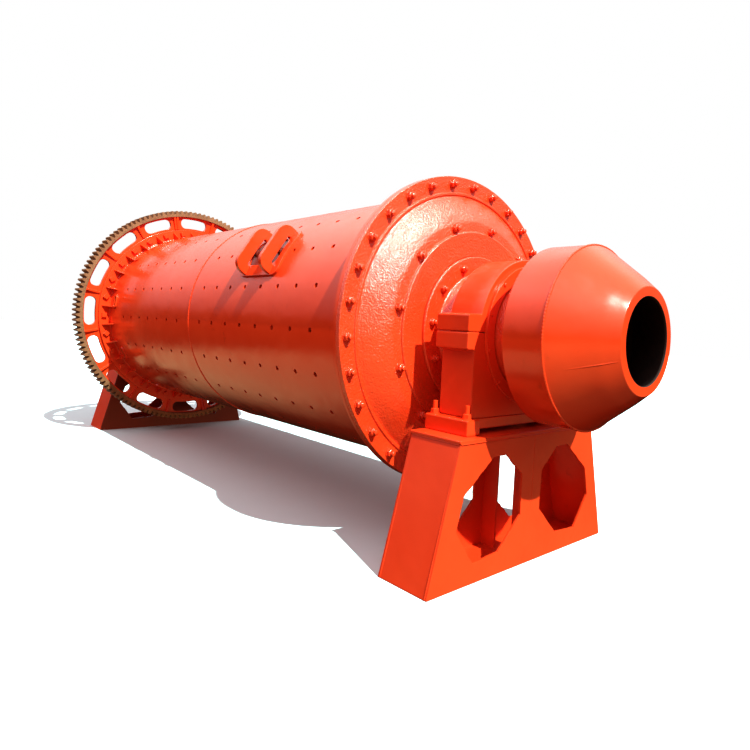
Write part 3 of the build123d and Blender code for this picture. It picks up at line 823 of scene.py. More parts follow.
# Cast surface: two lengths of waves on the dome, faded out towards its seat and its foot.
def headRelief(points):
    radius = np.hypot(points[..., 1], points[..., 2])
    domed = np.clip((radius - head["seat"][1] - 0.02) / 0.05, 0, 1)
    domed = domed * np.clip((head["shoulder"] - radius) / 0.02, 0, 1) * (points[..., 0] > 0.0005)
    return (waves(points, 0.16, 3) + 0.7 * waves(points, 0.06, 4)) * head["dents"] * domed


trunnion = {
    "journal": 0.350,
    "bore": 0.260,
    "root": (0.384, 0.060),  # radius and length, as for the spigot and the collar
    "spigot": (0.3895, 0.030),
    "flange": (0.506, 0.090, 0.145),  # radius, and x of its back and its face
    "collar": (0.430, 0.025),
    "feedEnd": 0.760,
    "driveEnd": 0.600,
}


# Section of a trunnion: rows of (x, radius, rounding), from its spigot to its outer collar.
def trunnionPath(end):
    flangeRadius, back, rise = trunnion["flange"]
    rootRadius, rootLength = trunnion["root"]
    spigot, spigotLength = trunnion["spigot"]
    collar, collarThick = trunnion["collar"]
    rows = [
        (back - spigotLength, trunnion["bore"], 0.004),
        (back - spigotLength, spigot, 0.003),
        (back, spigot, 0.001),
        (back, flangeRadius, 0.002),
        (rise, flangeRadius, 0.010),
        (rise, rootRadius, 0.014),
        (rise + rootLength, trunnion["journal"], 0.02),
        (end - collarThick, trunnion["journal"], 0.008),
        (end - collarThick, collar, 0.003),
        (end, collar, 0.003),
        (end, trunnion["bore"], 0.006),
    ]
    return cornerPath(rows)


# The shell's own flanges, each from its back to its face along x.
flange = {"feed": (-0.070, -headFlange), "drive": (-4.502, -4.470), "inner": 0.9352, "outer": 1.047}
boltRings = {  # x, radius and angles
    "flange": (0, 0.994, evenly(4, 30)),
    "flangeHead": (flange["feed"][0], 0.994, evenly(4, 30)),
    "drive": (flange["drive"][1], 0.994, evenly(14.5, 30)),
    "inner": (0.1085, 0.703, evenly(80, 12)),
    "trunnion": (trunnion["flange"][2], 0.443, evenly(114, 12)),
}
for end in ("feed", "drive"):
    shells = [lathe(headPath(), 192, headRelief)]
    shells.append(boltCircle(bolts["flange"], *boltRings["flange"], 1, 11))
    shells.append(boltCircle(bolts["inner"], *boltRings["inner"], 1, 12))
    meshPiece(end + "Head", end, shells, [castEnamel], "drum", "head_casting", end + "_head")
    shells = [lathe(trunnionPath(trunnion[end + "End"]), 128)]
    shells.append(boltCircle(bolts["trunnion"], *boltRings["trunnion"], 1, 13))
    meshPiece(end + "Trunnion", end, shells, [castEnamel], "drum", "trunnion_steel", end + "_trunnion")
    xFrom, xTo = flange[end]
    shells = [lathe(ringPath(xFrom, xTo, flange["inner"], flange["outer"], 0.004), 192)]
    if end == "feed":
        shells.append(boltCircle(bolts["flangeHead"], *boltRings["flangeHead"], -1, 14))
        shells.append(roundWeld(xFrom, drum["outer"], -45, *beads["flange"]))
    else:
        shells.append(boltCircle(squareBolt(**squareSizes), *boltRings["drive"], 1, 15))
        shells.append(roundWeld(xTo, drum["outer"], 45, *beads["flange"]))
    meshPiece(end + "Flange", "feed", shells, [redEnamel], "drum", "flange_paint", end + "_shell_flange")
print("heads, flanges and trunnions made")


gusset = {"first": 8.5, "length": 0.130, "height": 0.092, "heel": 0.008, "thickness": 0.014}
pads = {
    "first": 29.0,
    "count": 10,
    "x": -4.287,
    "size": (0.074, 0.150),
    "slot": (0.034, 0.110),
    "height": 0.014,
}


# A right-angled plate in (x, radius), standing on the shell against the flange, its tip cut off.
def gussetPlate():
    xFrom, low = flange["drive"][1] - 0.002, drum["outer"] - 0.012
    xTo = xFrom + gusset["length"]
    outline = [(xFrom, low), (xTo, low), (xTo, drum["outer"] + gusset["heel"])]
    outline.append((xFrom, drum["outer"] + gusset["height"]))
    half = gusset["thickness"] / 2
    return cutPlate([roundedPath(outline, 0.0045, 2)], -half, half, 0.002, alongRadius, 1)


# An oblong of half circles and straight sides, a little larger or smaller.
def oblong(size, more=0.0, shrink=0.0):
    return roundedRectangle(size[0] + more, size[1] + more, size[0] / 2 - shrink, 6, 3)


gussets = spunRound(gussetPlate(), evenly(gusset["first"], 30))
meshPiece("driveGussets", "feed", [gussets], [redEnamel], "drum", "flange_paint", "drive_flange_gussets")
onShell = flatMap((1, 0, 0), (0, 0, -1), (0, 1, 0), (pads["x"], drum["outer"], 0))
outer, inner = oblong(pads["size"], 0, 1e-4), oblong(pads["slot"], 0, 1e-4)
pad = ringPlate(outer, inner, -0.014, pads["height"], 0.003, onShell)
# A near-black sheet on the shell in each pad's slot: painted shade of the slot.
slotShadeSheet = cutPlate([oblong(pads["slot"], 0.006)], -0.012, 0.0045, 0.0005, onShell, 1)
padAngles = evenly(pads["first"], pads["count"])
shells = [spunRound(pad, padAngles), (*spunRound(slotShadeSheet, padAngles), 1)]
paintAndShadedInside = [redEnamel, innerSteelAndShade]
meshPiece("slottedPads", "feed", shells, paintAndShadedInside, "drum", "shell_paint", "shell_slotted_pads")
print("gussets and pads made")


gear = {
    "teeth": 140,
    "pitchRadius": 1.260,
    "module": 0.018,
    "rootDepth": 0.0225,
    "rimBack": -4.632,
    "rimFront": -4.462,
    "rimInner": 1.205,
    "webBack": -4.542,
    "webFront": -4.502,
    "webBore": 0.918,
    "slotInner": 1.072,
    "slotOuter": 1.188,
    "slotHalfAngle": 8.0,
    "slotCorner": 0.052,
    "slots": 16,
    "splitAngle": 101.25,
    "splitGap": 0.001,
    "rib": (0.026, 0.006, 0.014, 0.006),  # thickness, gap to the flange, depth there, inset at the rim
    "edge": 0.003,
}


# Radius of the tooth outline against the share of a pitch from the tooth's middle: tip, rounded
# flank, fillet, root, with straight lines between.
def toothRadius(angle):
    share = np.abs((angle * gear["teeth"] / 360 + 0.5) % 1 - 0.5)
    middle = gear["pitchRadius"]
    root, tip = middle - gear["rootDepth"], middle + gear["module"]
    marks = [0, 0.105, 0.125, 0.195, 0.25, 0.31, 0.365, 0.40, 0.5]
    radii = [tip, tip, tip - 0.0015, middle + 0.009, middle, root + 0.011, root + 0.003, root, root]
    return np.interp(share, marks, radii)


# Half of the rim: a section of eight (x, radius) points carried from station to station round the
# half circle, its outer four at the tooth outline's radius there. Three quads close each end.
def gearRim(start):
    pitch = 360 / gear["teeth"]
    trim = np.degrees(gear["splitGap"] / 2 / gear["pitchRadius"])
    low, high = start + trim, start + 180 - trim
    marks = np.array([-0.40, -0.31, -0.25, -0.195, -0.125, 0.125, 0.195, 0.25, 0.31, 0.40])
    teeth = np.floor(low / pitch) - 1 + np.arange(gear["teeth"] // 2 + 4)
    stations = (teeth[:, None] + marks).ravel() * pitch
    stations = np.r_[low, stations[(stations > low + 0.02) & (stations < high - 0.02)], high]
    back, front, edge = gear["rimBack"], gear["rimFront"], gear["edge"]
    xs = np.array([back + edge, front - edge, front, front, front - edge, back + edge, back, back])
    isOuter = np.array([0, 0, 0, 1, 1, 1, 1, 0], bool)
    lift = edge * np.array([0, 0, 1, -1, 0, 0, -1, 1])
    radius = np.where(isOuter, toothRadius(stations)[:, None], gear["rimInner"]) + lift
    turn = np.radians(stations)[:, None]
    points = around(xs, radius, turn)
    cap = np.array([[0, 1, 2, 7], [2, 3, 6, 7], [3, 4, 5, 6]])
    faces = [gridFaces(len(stations), 8, False, True), cap, flipped(cap) + (len(stations) - 1) * 8]
    return outward((points.reshape(-1, 3), np.concatenate(faces)))


# Half of the web: one cell for each slot, a ring from the slot's rounded edge to the cell's border
# in (radius, arc length), which becomes (radius cos, radius sin) of arc / middle radius. The
# border's points are where rays from the slot's middle through its own points meet the cell.
def gearWeb(start):
    back, front, bore = gear["webBack"], gear["webFront"], gear["webBore"]
    middle = (gear["slotInner"] + gear["slotOuter"]) / 2
    width = 2 * np.radians(gear["slotHalfAngle"]) * middle
    slot = roundedRectangle(gear["slotOuter"] - gear["slotInner"], width, gear["slotCorner"], 6, 7)
    halfCell = np.pi / gear["slots"] * middle
    low, high = bore - middle, gear["rimInner"] + 0.004 - middle
    ray = unit(slot)
    reachRadius = np.where(ray[:, 0] > 0, high, low) / np.where(np.abs(ray[:, 0]) < 1e-6, 1e-6, ray[:, 0])
    reachArc = halfCell / np.maximum(np.abs(ray[:, 1]), 1e-6)
    border = ray * np.minimum(np.abs(reachRadius), reachArc)[:, None]
    for corner in ((high, halfCell), (low, halfCell), (low, -halfCell), (high, -halfCell)):
        border[np.argmin(np.linalg.norm(border - corner, axis=1))] = corner
    edge = [(insetLoop(slot, -inset), height) for inset, height in edgeProfile(back, front, 0.005)]
    grid = stackedRings([(border, back), *edge, (border, front)])
    points = around(grid[..., 2], middle + grid[..., 0], grid[..., 1] / middle).reshape(-1, 3)
    cell = outward((points, gridFaces(len(grid), len(slot), True, True)))
    return spunRound(cell, start + 360 / gear["slots"] * (np.arange(gear["slots"] // 2) + 0.5))


# Tapered rib in (x, radius): shallow at the hub, nearly as deep as the rim at its outer end.
def gearRib(webFace, rimFace):
    thickness, gap, foot, rimInset = gear["rib"]
    inner, outer = flange["outer"] + gap, gear["rimInner"] + 0.004
    toward = 1 if rimFace > webFace else -1
    sunk = webFace - toward * 0.004
    outline = [(sunk, inner), (webFace + toward * foot, inner)]
    outline += [(rimFace - toward * rimInset, outer), (sunk, outer)]
    return cutPlate([roundedPath(outline, 0.0075, 3)], -thickness / 2, thickness / 2, 0.005, alongRadius)


ribs = [gearRib(gear["webBack"], gear["rimBack"]), gearRib(gear["webFront"], gear["rimFront"])]
for name, start in (("front", gear["splitAngle"]), ("rear", gear["splitAngle"] + 180)):
    ribAngles = np.r_[start + 360 / gear["slots"] * np.arange(1, 8), start + 0.75, start + 179.25]
    shells = [gearRim(start), (*gearWeb(start), 1)]
    shells += [(*spunRound(rib, ribAngles), 1) for rib in ribs]
    node = f"girth_gear_{name}_half"
    meshPiece(name + "GearHalf", "feed", shells, [gearRust, redEnamel], "drum", "gear_steel", node)
print("girth gear made")


# Laid on the shell at the manhole: x as it is, the second length along the arc as length / radius,
# the third out along the radius.
def wrapped(local):
    turn = np.radians(manhole["angle"]) + local[:, 1] / drum["outer"]
    return around(manhole["x"] + local[:, 0], drum["outer"] + local[:, 2], turn)


# Cover: a plug in the opening and a lip behind the shell. Every ring is the opening's outline moved
# out by an amount or scaled by a share, and both faces close ring by ring to their middle.
def manholeCover():
    overlap, lip = manhole["lip"]
    clear, top = manhole["clearance"], manhole["proud"]
    under = -drum["wall"] - 0.0005
    low = -drum["wall"] - lip
    opening = roundedRectangle(*manhole["opening"], manhole["corner"], 6, 10)
    shares = np.linspace(1, 0.12, 7)[1:]
    rings = [(-overlap + 0.003, low, share) for share in (*shares[::-1], 1)]
    rings += [(-overlap, low + 0.003, 1), (-overlap, under, 1), (clear, under, 1), (clear, top - 0.003, 1)]
    rings += [(clear + 0.003, top, share) for share in (1, *shares)]
    rings = stackedRings([(insetLoop(opening, inset) * share, height) for inset, height, share in rings])
    points, faces = capped(rings.reshape(-1, 3), len(rings), len(opening), (0, 0, low), (0, 0, top))
    return outward((wrapped(points), faces))


# Clamp yoke on edge: an arch in (length round the drum, radius), its feet on the curved frame, at
# the root of radius squared less length squared. Its stud stands on the cover.
def manholeYoke(side):
    length, thickness, height = manhole["yoke"]
    x = manhole["x"] + side * manhole["yokeSpacing"] / 2
    frameRadius = drum["outer"] + manhole["frameHeight"] - 0.003
    half, gap = length / 2, manhole["gap"] / 2
    top = drum["outer"] + height
    under = top - manhole["yokeDepth"]
    foot, toe = np.sqrt(frameRadius**2 - half**2), np.sqrt(frameRadius**2 - gap**2)
    rows = [(gap, under, 0.012), (gap, toe, 0.008), (half, foot, 0.008), (half, top, manhole["yokeCorner"])]
    out = around(0, 1, np.radians(manhole["angle"]))
    mapping = flatMap((0, out[2], -out[1]), out, (1, 0, 0), (x, 0, 0))
    arch = cutPlate([cornerPath(bothSides(rows), 8)], -thickness / 2, thickness / 2, 0.005, mapping)
    return arch, boltsAt(bolts["clamp"], [out * (drum["outer"] + manhole["proud"]) + (x, 0, 0)], out, 21)


loops = [roundedRectangle(*manhole[name], manhole["corner"], 6, 12) for name in ("frame", "opening")]
shells = [ringPlate(*loops, -0.004, manhole["frameHeight"], 0.003, wrapped, 3)]
meshPiece("manholeFrame", "feed", shells, [redEnamel], "drum", "manhole_paint", "manhole_frame")
shells = [manholeCover()]
for name, side in (("feed", 1), ("drive", -1)):
    arch, stud = manholeYoke(side)
    shells.append(stud)
    meshPiece(name + "Yoke", "feed", [arch], [redEnamel], "drum", "manhole_paint", f"manhole_{name}_yoke")
# The cover and its studs take the darkened enamel: grease, and painted shade under the yokes.
meshPiece("manholeCover", "feed", shells, [greaseAndShadeEnamel], "drum", "manhole_paint", "manhole_cover")
print("manhole made")


feeder = {
    "back": 0.760,
    "radius": 0.530,
    "wall": 0.030,
    "disc": 0.025,
    "coneStart": 1.015,
    "mouth": 1.322,
    "mouthRadius": 0.295,
    "mouthBore": 0.241,
    "coneWall": 0.0542,
    "land": 0.012,
    "bulge": (0.72, 0.0045),  # share of the cone's length, and how far out
    "rimRound": 0.009,
    "seamAngle": 201.0,
}
throat = {"back": 0.600, "front": 0.655, "bore": 0.260, "wall": 0.018, "flare": 0.052}


# Faces of a turned shell beyond an x, and nearer to the axis than a line of (x, radius) along the
# middle of its wall there, are its inside and take the second material: near-black bare steel, partly
# painted shade of the hollow.
def splitShadedInside(shell, xLimit, wallLine):
    points, faces = shell
    x, y, z = points[faces].mean(1).T
    inside = (x > xLimit) & (np.hypot(y, z) < np.interp(x, *np.transpose(wallLine)))
    return [(points, faces[~inside]), (points, faces[inside], 1)]


back, radius, coneStart, mouth = feeder["back"], feeder["radius"], feeder["coneStart"], feeder["mouth"]
drumRows = [
    (back, trunnion["bore"], 0.004),
    (back, radius, 0.006),
    (coneStart, radius, 0.001),
    (coneStart, radius - feeder["wall"], 0.001),
    (back + feeder["disc"], radius - feeder["wall"], 0.008),
    (back + feeder["disc"], trunnion["bore"], 0.004),
]
share, rise = feeder["bulge"]
bulgeX = coneStart + share * (mouth - coneStart) + 0.6 * rise
bulge = radius + share * (feeder["mouthRadius"] - radius) + 0.8 * rise
coneRows = [
    (coneStart, radius, 0.001),
    (bulgeX, bulge, 0.6),
    (mouth, feeder["mouthRadius"], feeder["rimRound"]),
    (mouth, feeder["mouthBore"], 0.003),
    (mouth - feeder["land"], feeder["mouthBore"], 0.003),
    (coneStart, radius - feeder["coneWall"], 0.002),
]
shells = splitShadedInside(lathe(cornerPath(drumRows), 160), back + 0.01, [(0, radius - feeder["wall"] / 2)])
shells.append(roundWeld(coneStart, radius - 0.001, 20, *beads["feederCone"]))
shells.append(roundWeld(back - 0.001, trunnion["collar"][0], -45, *beads["feederBack"]))
meshPiece("feederDrum", "feed", shells, paintAndShadedInside, "drum", "feeder_paint", "feeder_drum")
coneLine = [(coneStart, 0.503), (mouth - 0.002, 0.2445), (mouth, 0.2445)]
shells = splitShadedInside(lathe(cornerPath(coneRows), 160), 0, coneLine)
out = around(0, 1, np.radians(feeder["seamAngle"]))
seam = [(coneStart + 0.012, radius - 0.012), (bulgeX, bulge)]
seam.append((mouth - 0.016, feeder["mouthRadius"] + 0.012))
marks = [out * reach + (x, 0, 0) for x, reach in seam]
for low, high in zip(marks[:-1], marks[1:]):
    shells.append(straightWeld(low, high, out * 0.79 + (0.61, 0, 0), *beads["coneSeam"]))
meshPiece("feederCone", "feed", shells, paintAndShadedInside, "drum", "feeder_paint", "feeder_cone")
flared = throat["bore"] + throat["flare"]
throatPath = [(throat["back"], throat["bore"]), (throat["back"], throat["bore"] + throat["wall"])]
throatPath += [(throat["front"], flared + throat["wall"]), (throat["front"], flared)]
shells = [lathe(roundedPath(throatPath, 0.003), 128)]
meshPiece("dischargeThroat", "drive", shells, [redEnamel], "drum", "feeder_paint", "discharge_throat")
print("feeder and throat made")


bearing = {
    "feedStart": 0.307,
    "driveStart": 0.244,
    "length": 0.248,
    "seat": 0.400,
    "cap": 0.465,
    "halfWidth": 0.505,
    "earHalfWidth": 0.566,
    "earHeight": 0.101,
    "split": 0.001,
    "foot": -0.496,
    "edge": 0.006,
    "bush": 0.35005,
    "seal": (0.356, 0.425, 0.020),  # inner and outer radius, and thickness
    "sealBolts": 0.404,
    "earBolts": ((0.24, 0.76), 0.527),  # shares of the length, and y
}
sole = {
    "thickness": 0.092,
    "back": 0.044,
    "front": 0.040,
    "inner": 0.463,
    "outer": 0.576,
    "bridge": 0.064,
    "studX": (-0.014, 0.238),
    "studY": 0.525,
}


# Rows of an arc about the axis: (radius cos, radius sin) between two angles, not rounded.
def arcRows(radius, fromAngle, toAngle, count):
    arc = around(0, radius, np.radians(np.linspace(fromAngle, toAngle, count)))
    return list(arc[:, [1, 2, 0]])


# Outlines in (y, z, rounding) of the pedestal's right half, from its foot over the ear into the
# round seat, and of the cap's, from the seat round the ear and up its dome.
def bearingOutlines():
    ear, seat, split = bearing["earHalfWidth"], bearing["seat"], bearing["split"]
    top, side, cap = split + bearing["earHeight"], bearing["halfWidth"], bearing["cap"]
    pedestal = [(side, bearing["foot"], 0.010), (side, -top, 0.012), (ear, -top, 0.011)]
    pedestal += [(ear, -split, 0.010), (seat, -split, 0.009), *arcRows(seat, -2, -90, 17)]
    meet = np.degrees(np.arcsin(top / cap)) + 1.5
    lid = [*arcRows(seat, 90, 2, 17), (seat, split, 0.009), (ear, split, 0.010), (ear, top, 0.012)]
    lid += [(np.sqrt(cap**2 - top**2), top, 0.010), *arcRows(cap, meet, 90, 25)]
    return [cornerPath(bothSides(rows), 3) for rows in (pedestal, lid)]


# Plates along x from the bearing's start to its end, flat bars under it, and turned rings round
# the axis, each with its bolts: name to (shells, material, slot, node).
def bearingPieces(end):
    start = bearing[end + "Start"]
    length, foot, edge = bearing["length"], bearing["foot"], bearing["edge"]
    finish = start + length
    pedestal, cap = (cutPlate([loop], start, finish, edge, acrossAxis) for loop in bearingOutlines())
    earTop = bearing["split"] + bearing["earHeight"]
    shares, reach = bearing["earBolts"]
    earPlaces = [(start + share * length, y, earTop) for share in shares for y in (-reach, reach)]
    inner, low, bridge = sole["inner"], foot - sole["thickness"], foot - sole["bridge"]
    bars = []
    for y0, y1 in ((-sole["outer"], -inner), (inner, sole["outer"])):
        bars.append(boxPlate((start - sole["back"], y0, low), (finish + sole["front"], y1, foot), edge))
    y0, y1 = -inner - 0.004, inner + 0.004
    bars.append(boxPlate((start + 0.001, y0, bridge), (finish - 0.001, y1, foot - 0.0005), 0.004))
    studPlaces = [(start + x, y, foot) for x in sole["studX"] for y in (-sole["studY"], sole["studY"])]
    bore, rim, thick = bearing["seal"]
    seals = []
    for x, side, seed in ((finish, 1, 34), (start, -1, 35)):
        ring = lathe(ringPath(*sorted((x, x + side * thick)), bore, rim, 0.003), 128)
        ringBolts = (x + side * thick, bearing["sealBolts"], evenly(15, 12))
        seals.append([ring, boltCircle(bolts["seal"], *ringBolts, side, seed)])
    bush = ringPath(start + 0.001, finish - 0.001, bearing["bush"], bearing["seat"] - 0.0005, 0.002)
    ears = boltsAt(bolts["ear"], earPlaces, (0, 0, 1), 31)
    studs = boltsAt(bolts["sole"], studPlaces, (0, 0, 1), 33)
    return {
        "Pedestal": ([pedestal], plateEnamel, "housing_paint", "bearing_pedestal"),
        "BearingCap": ([cap, ears], redEnamel, "housing_paint", "bearing_cap"),
        "BearingSole": ([*bars, studs], redEnamel, "housing_paint", "bearing_sole"),
        "OuterSeal": (seals[0], redEnamel, "seal_paint", "outer_seal"),
        "InnerSeal": (seals[1], redEnamel, "seal_paint", "inner_seal"),
        "Bush": ([lathe(bush, 128)], bearingMetal, "bearing_metal", "bearing_bush"),
    }


for end in ("feed", "drive"):
    for name, (shells, material, slotName, node) in bearingPieces(end).items():
        meshPiece(end + name, end, shells, [material], "base", slotName, end + "_" + node)
print("bearings made")


# A window's upper corners are (y, distance down from the stand's top), its lower ones (y, height
# over the ground).
stand = {
    "backReach": 0.041,
    "frontReach": 0.095,
    "drop": 0.610,
    "topHalfWidth": 0.6825,
    "footHalfWidth": 0.888,
    "plate": 0.016,
    "topPlate": 0.022,
    "floorPlate": 0.012,
    "overhang": (0.007, 0.003),  # of the top plate, behind and beside, and in front
    "ribDepth": 0.128,
    "windowTop": [(0.106, 0.232), (0.265, 0.098), (0.388, 0.098), (0.631, 0.286)],
    "windowLow": [(0.682, 0.320), (0.530, 0.115), (0.300, 0.130), (0.099, 0.315)],
    "waver": 0.0016,
}


# Torch-cut window: its straight sides in fourteen steps each, with a small waver square to them.
def windowLoop(side, seed):
    corners = [(y, -stand["drop"] - down) for y, down in stand["windowTop"]]
    corners = np.array(corners + [(y, -axisZ + up) for y, up in stand["windowLow"]])
    following = np.roll(corners, -1, 0)
    share = np.linspace(0, 1, 14, endpoint=False)[None, :, None]
    loop = corners[:, None] * (1 - share) + following[:, None] * share
    run = following - corners
    square = unit(np.c_[-run[:, 1], run[:, 0]])
    waver = np.random.default_rng(seed).normal(0, stand["waver"], (len(corners), 14))
    waver[:, 0] = 0
    return (loop + square[:, None] * waver[..., None]).reshape(-1, 2) * (side, 1)


# A box of plates whose half width goes in a straight line from the foot's to the top's: name to
# (shells, nodes).
def standPieces(end):
    start = bearing[end + "Start"]
    plate, foot, top = stand["plate"], -axisZ, -stand["drop"]
    back, front = start - stand["backReach"], start + bearing["length"] + stand["frontReach"]
    inBack, inFront = back + plate - 0.001, front - plate + 0.001
    wideFoot, wideTop = stand["footHalfWidth"], stand["topHalfWidth"]
    outline = [(-wideFoot, foot), (wideFoot, foot), (wideTop, top), (-wideTop, top)]
    outline = roundedPath(outline, 0.005, 2)
    pieces = {}
    for name, x, seed in (("Front", front - plate, 41), ("Rear", back, 43)):
        loops = [outline, windowLoop(-1, seed), windowLoop(1, seed + 1)]
        pieces[name] = [cutPlate(loops, x, x + plate, 0.0025, acrossAxis)], [name.lower() + "_plate"]
    for name, side in (("Left", -1), ("Right", 1)):
        corners = [(wideFoot, foot), (wideTop, top), (wideTop - plate, top), (wideFoot - plate, foot)]
        loop = roundedPath(np.array(corners) * (side, 1), 0.004, 2)
        pieces[name] = [cutPlate([loop], inBack, inFront, 0.0015, acrossAxis)], [name.lower() + "_plate"]
    depth = stand["ribDepth"]
    for name, x0, x1 in (("Front", front - depth, inFront), ("Rear", inBack, back + depth)):
        rib = boxPlate((x0, -plate / 2, foot), (x1, plate / 2, top), 0.002)
        pieces[name + "Rib"] = [rib], [name.lower() + "_rib"]
    behind, before = stand["overhang"]
    wide, reach = wideTop + behind, wideFoot - plate - 0.001
    lid = boxPlate((back - behind, -wide, top), (front + before, wide, top + stand["topPlate"]), 0.005)
    pieces["Top"] = [lid], ["top_plate"]
    floorPlate = boxPlate((inBack, -reach, foot), (inFront, reach, foot + stand["floorPlate"]), 0.0015)
    pieces["Floor"] = [floorPlate], []
    welds = []
    for side in (-1, 1):
        for x in (inFront, inBack):
            low = (x, side * (wideFoot - 0.001), foot + 0.006)
            high = (x, side * (wideTop - 0.001), top - 0.006)
            welds.append(straightWeld(low, high, (0, side, 0.2), *beads["standCorner"]))
        y, z = side * (wideTop + 0.0005), top - 0.002
        low, high = (back + 0.01, y, z), (front - 0.01, y, z)
        welds.append(straightWeld(low, high, (0, side, -1), *beads["standSide"]))
    for x, lean in ((front, 1), (back, -1)):
        low, high = (x, -wideTop, top - 0.001), (x, wideTop, top - 0.001)
        welds.append(straightWeld(low, high, (lean, 0, -1), *beads["standTop"]))
    low, high = (front, 0.012, foot + 0.33), (front, 0.012, top - 0.004)
    welds.append(straightWeld(low, high, (1, 0, 0), *beads["ribMark"]))
    pieces["Front"][0].extend(welds)
    return pieces


for end in ("feed", "drive"):
    for name, (shells, nodes) in standPieces(end).items():
        # The drive stand's inner plates, ribs and floor take the darkened enamel: grease, and painted shade
        # of the gear above them.
        greasedAndShaded = end == "drive" and name in ("Rear", "FrontRib", "RearRib", "Floor")
        paint = greaseAndShadeEnamel if greasedAndShaded else plateEnamel
        nodes = [f"{end}_stand_{node}" for node in nodes]
        meshPiece(f"{end}Stand{name}", end, shells, [paint], "base", "stand_paint", *nodes)
print("stands made")


view = {
    "location": (4.6727, -3.0717, 1.4076),
    "azimuth": 46.1043,
    "elevation": 1.3374,
    "roll": 3.1969,
    "lens": 28.276,
    "shift": (-0.0507, -0.0442),
    "contrast": 1.3,
}
light = {
    "sunFrom": (1.0, -0.04, 1.08),
    "sunStrength": 5.5,
    "sunTone": (1.0, 1.52, 1.50),
    "sunAngle": 0.7,
    "skyStrength": 0.92,
    "skyOnMatt": 0.34,
    "floorTone": 0.84,
    "yardAhead": (1.50, 0.92, 0.42),
    "skyBeside": 1.25,
    "skyBehind": 0.78,
    "yardBeside": (1.25, 0.95, 0.52),
}
# Tones round the machine by height of the direction, from straight down at -1 to straight up at 1:
# its own shadow, far trees and roofs, hazy sky.
skyTones = [
    (-1.0, (0.05, 0.030, 0.015)),
    (-0.10, (0.05, 0.035, 0.02)),
    (0.02, (0.05, 0.045, 0.04)),
    (0.09, (0.40, 0.42, 0.46)),
    (0.27, (0.95, 1.00, 1.05)),
    (0.45, (1.50, 1.58, 1.66)),
    (0.70, (3.00, 3.10, 3.20)),
    (1.0, (2.60, 2.72, 2.85)),
]


# Axes of the camera: back = (sin a cos e, -cos a cos e, sin e) of azimuth and elevation, right
# level, up square to both, and right and up turned by the roll.
def makeCamera():
    azimuth, elevation, roll = np.radians([view["azimuth"], view["elevation"], view["roll"]])
    level = np.array([np.sin(azimuth), -np.cos(azimuth), 0])
    back = level * np.cos(elevation) + (0, 0, np.sin(elevation))
    right = np.array([np.cos(azimuth), np.sin(azimuth), 0])
    up = np.cross(back, right)
    axes = [np.cos(roll) * right + np.sin(roll) * up, np.cos(roll) * up - np.sin(roll) * right, back]
    camera = bpy.data.objects.new("photoCamera", bpy.data.cameras.new("photoCamera"))
    turn = Matrix(np.transpose(axes).tolist()).to_4x4()
    camera.matrix_world = Matrix.Translation(view["location"]) @ turn
    camera.data.lens = view["lens"]
    camera.data.sensor_width = 36
    camera.data.shift_x, camera.data.shift_y = view["shift"]
    camera.data.clip_end = 200
    bpy.context.scene.collection.objects.link(camera)
    bpy.context.scene.camera = camera


# The sun's own z, against its light, is laid along the direction that it comes from.
def makeSun():
    data = bpy.data.lights.new("sun", "SUN")
    data.energy = light["sunStrength"]
    data.angle = np.radians(light["sunAngle"])
    data.color = light["sunTone"]
    sun = bpy.data.objects.new("sun", data)
    sun.rotation_euler = Vector(light["sunFrom"]).to_track_quat("Z", "Y").to_euler()
    bpy.context.scene.collection.objects.link(sun)


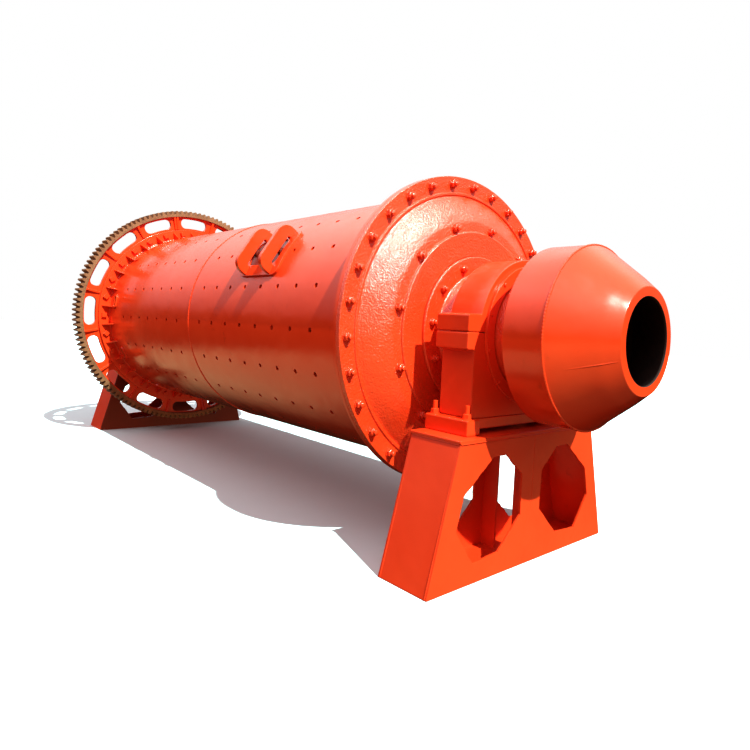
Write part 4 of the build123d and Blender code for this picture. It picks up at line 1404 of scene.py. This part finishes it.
# White to the camera. To the paint: the sky's tones by height, a sunlit yard in two bands of
# direction, and a strength that is less on matt surfaces and behind the machine.
def makeWorld():
    world = bpy.data.worlds.new("studio")
    bpy.context.scene.world = world
    world.use_nodes = True
    tree = world.node_tree
    tree.nodes.clear()
    direction = addNode(tree, "TexCoord").outputs["Generated"]
    ahead, beside, height = addNode(tree, "SeparateXYZ", {"Vector": direction}).outputs
    tones = addNode(tree, "ValToRGB", {"Fac": ramp(tree, height, -1, 1)})
    elements = tones.color_ramp.elements
    while len(elements) < len(skyTones):
        elements.new(0.5)
    for element, (level, colour) in zip(elements, skyTones):
        element.position = (level + 1) / 2
        element.color = (*colour, 1)
    band = product(tree, ramp(tree, beside, 0.25, -0.05), ramp(tree, height, -0.66, -0.58))
    band = product(tree, band, ramp(tree, height, -0.24, -0.30))
    whole = blendColour(tree, band, tones.outputs["Color"], light["yardBeside"])
    band = product(tree, ramp(tree, ahead, 0.0, 0.55), ramp(tree, height, -0.02, -0.16))
    whole = blendColour(tree, band, whole, light["yardAhead"])
    rays = addNode(tree, "LightPath").outputs
    bright, matt = light["skyStrength"], light["skyStrength"] * light["skyOnMatt"]
    strength = ramp(tree, rays["Is Diffuse Ray"], 0, 1, bright, matt)
    side = ramp(tree, beside, -0.45, 0.45, light["skyBeside"], light["skyBehind"])
    mirrored = addNode(tree, "Background", {"Color": whole, "Strength": product(tree, strength, side)})
    seen = addNode(tree, "Background", {"Color": (1, 1, 1), "Strength": 1.0})
    shaders = {0: rays["Is Camera Ray"], 1: mirrored.outputs[0], 2: seen.outputs[0]}
    addNode(tree, "OutputWorld", {"Surface": addNode(tree, "MixShader", shaders).outputs[0]})


# A wide pale sheet just under the ground, which the paint doesn't reflect.
def makeFloor():
    mesh = bpy.data.meshes.new("floor")
    reach = 60.0
    corners = [(-reach, -reach, 0), (reach, -reach, 0), (reach, reach, 0), (-reach, reach, 0)]
    mesh.from_pydata(corners, [], [(0, 1, 2, 3)])
    floor = bpy.data.objects.new("floor", mesh)
    material, tree, shader, where = nodeMaterial("paleFloor")
    tone = np.full(3, light["floorTone"])
    speckle = ramp(tree, noise(tree, where, 1.5, 3), 0.3, 0.7)
    speckled = blendColour(tree, speckle, tone, tone * 1.02)
    setSockets(tree, shader, {"Base Color": speckled, "Roughness": 0.9})
    mesh.materials.append(material)
    floor.visible_glossy = False
    floor.visible_diffuse = False
    floor.location.z = -0.0005
    bpy.context.scene.collection.objects.link(floor)


makeCamera()
makeSun()
makeWorld()
makeFloor()
bpy.context.scene.view_settings.view_transform = "Standard"
bpy.context.scene.view_settings.gamma = 1 / view["contrast"]
print("camera, light and floor made")
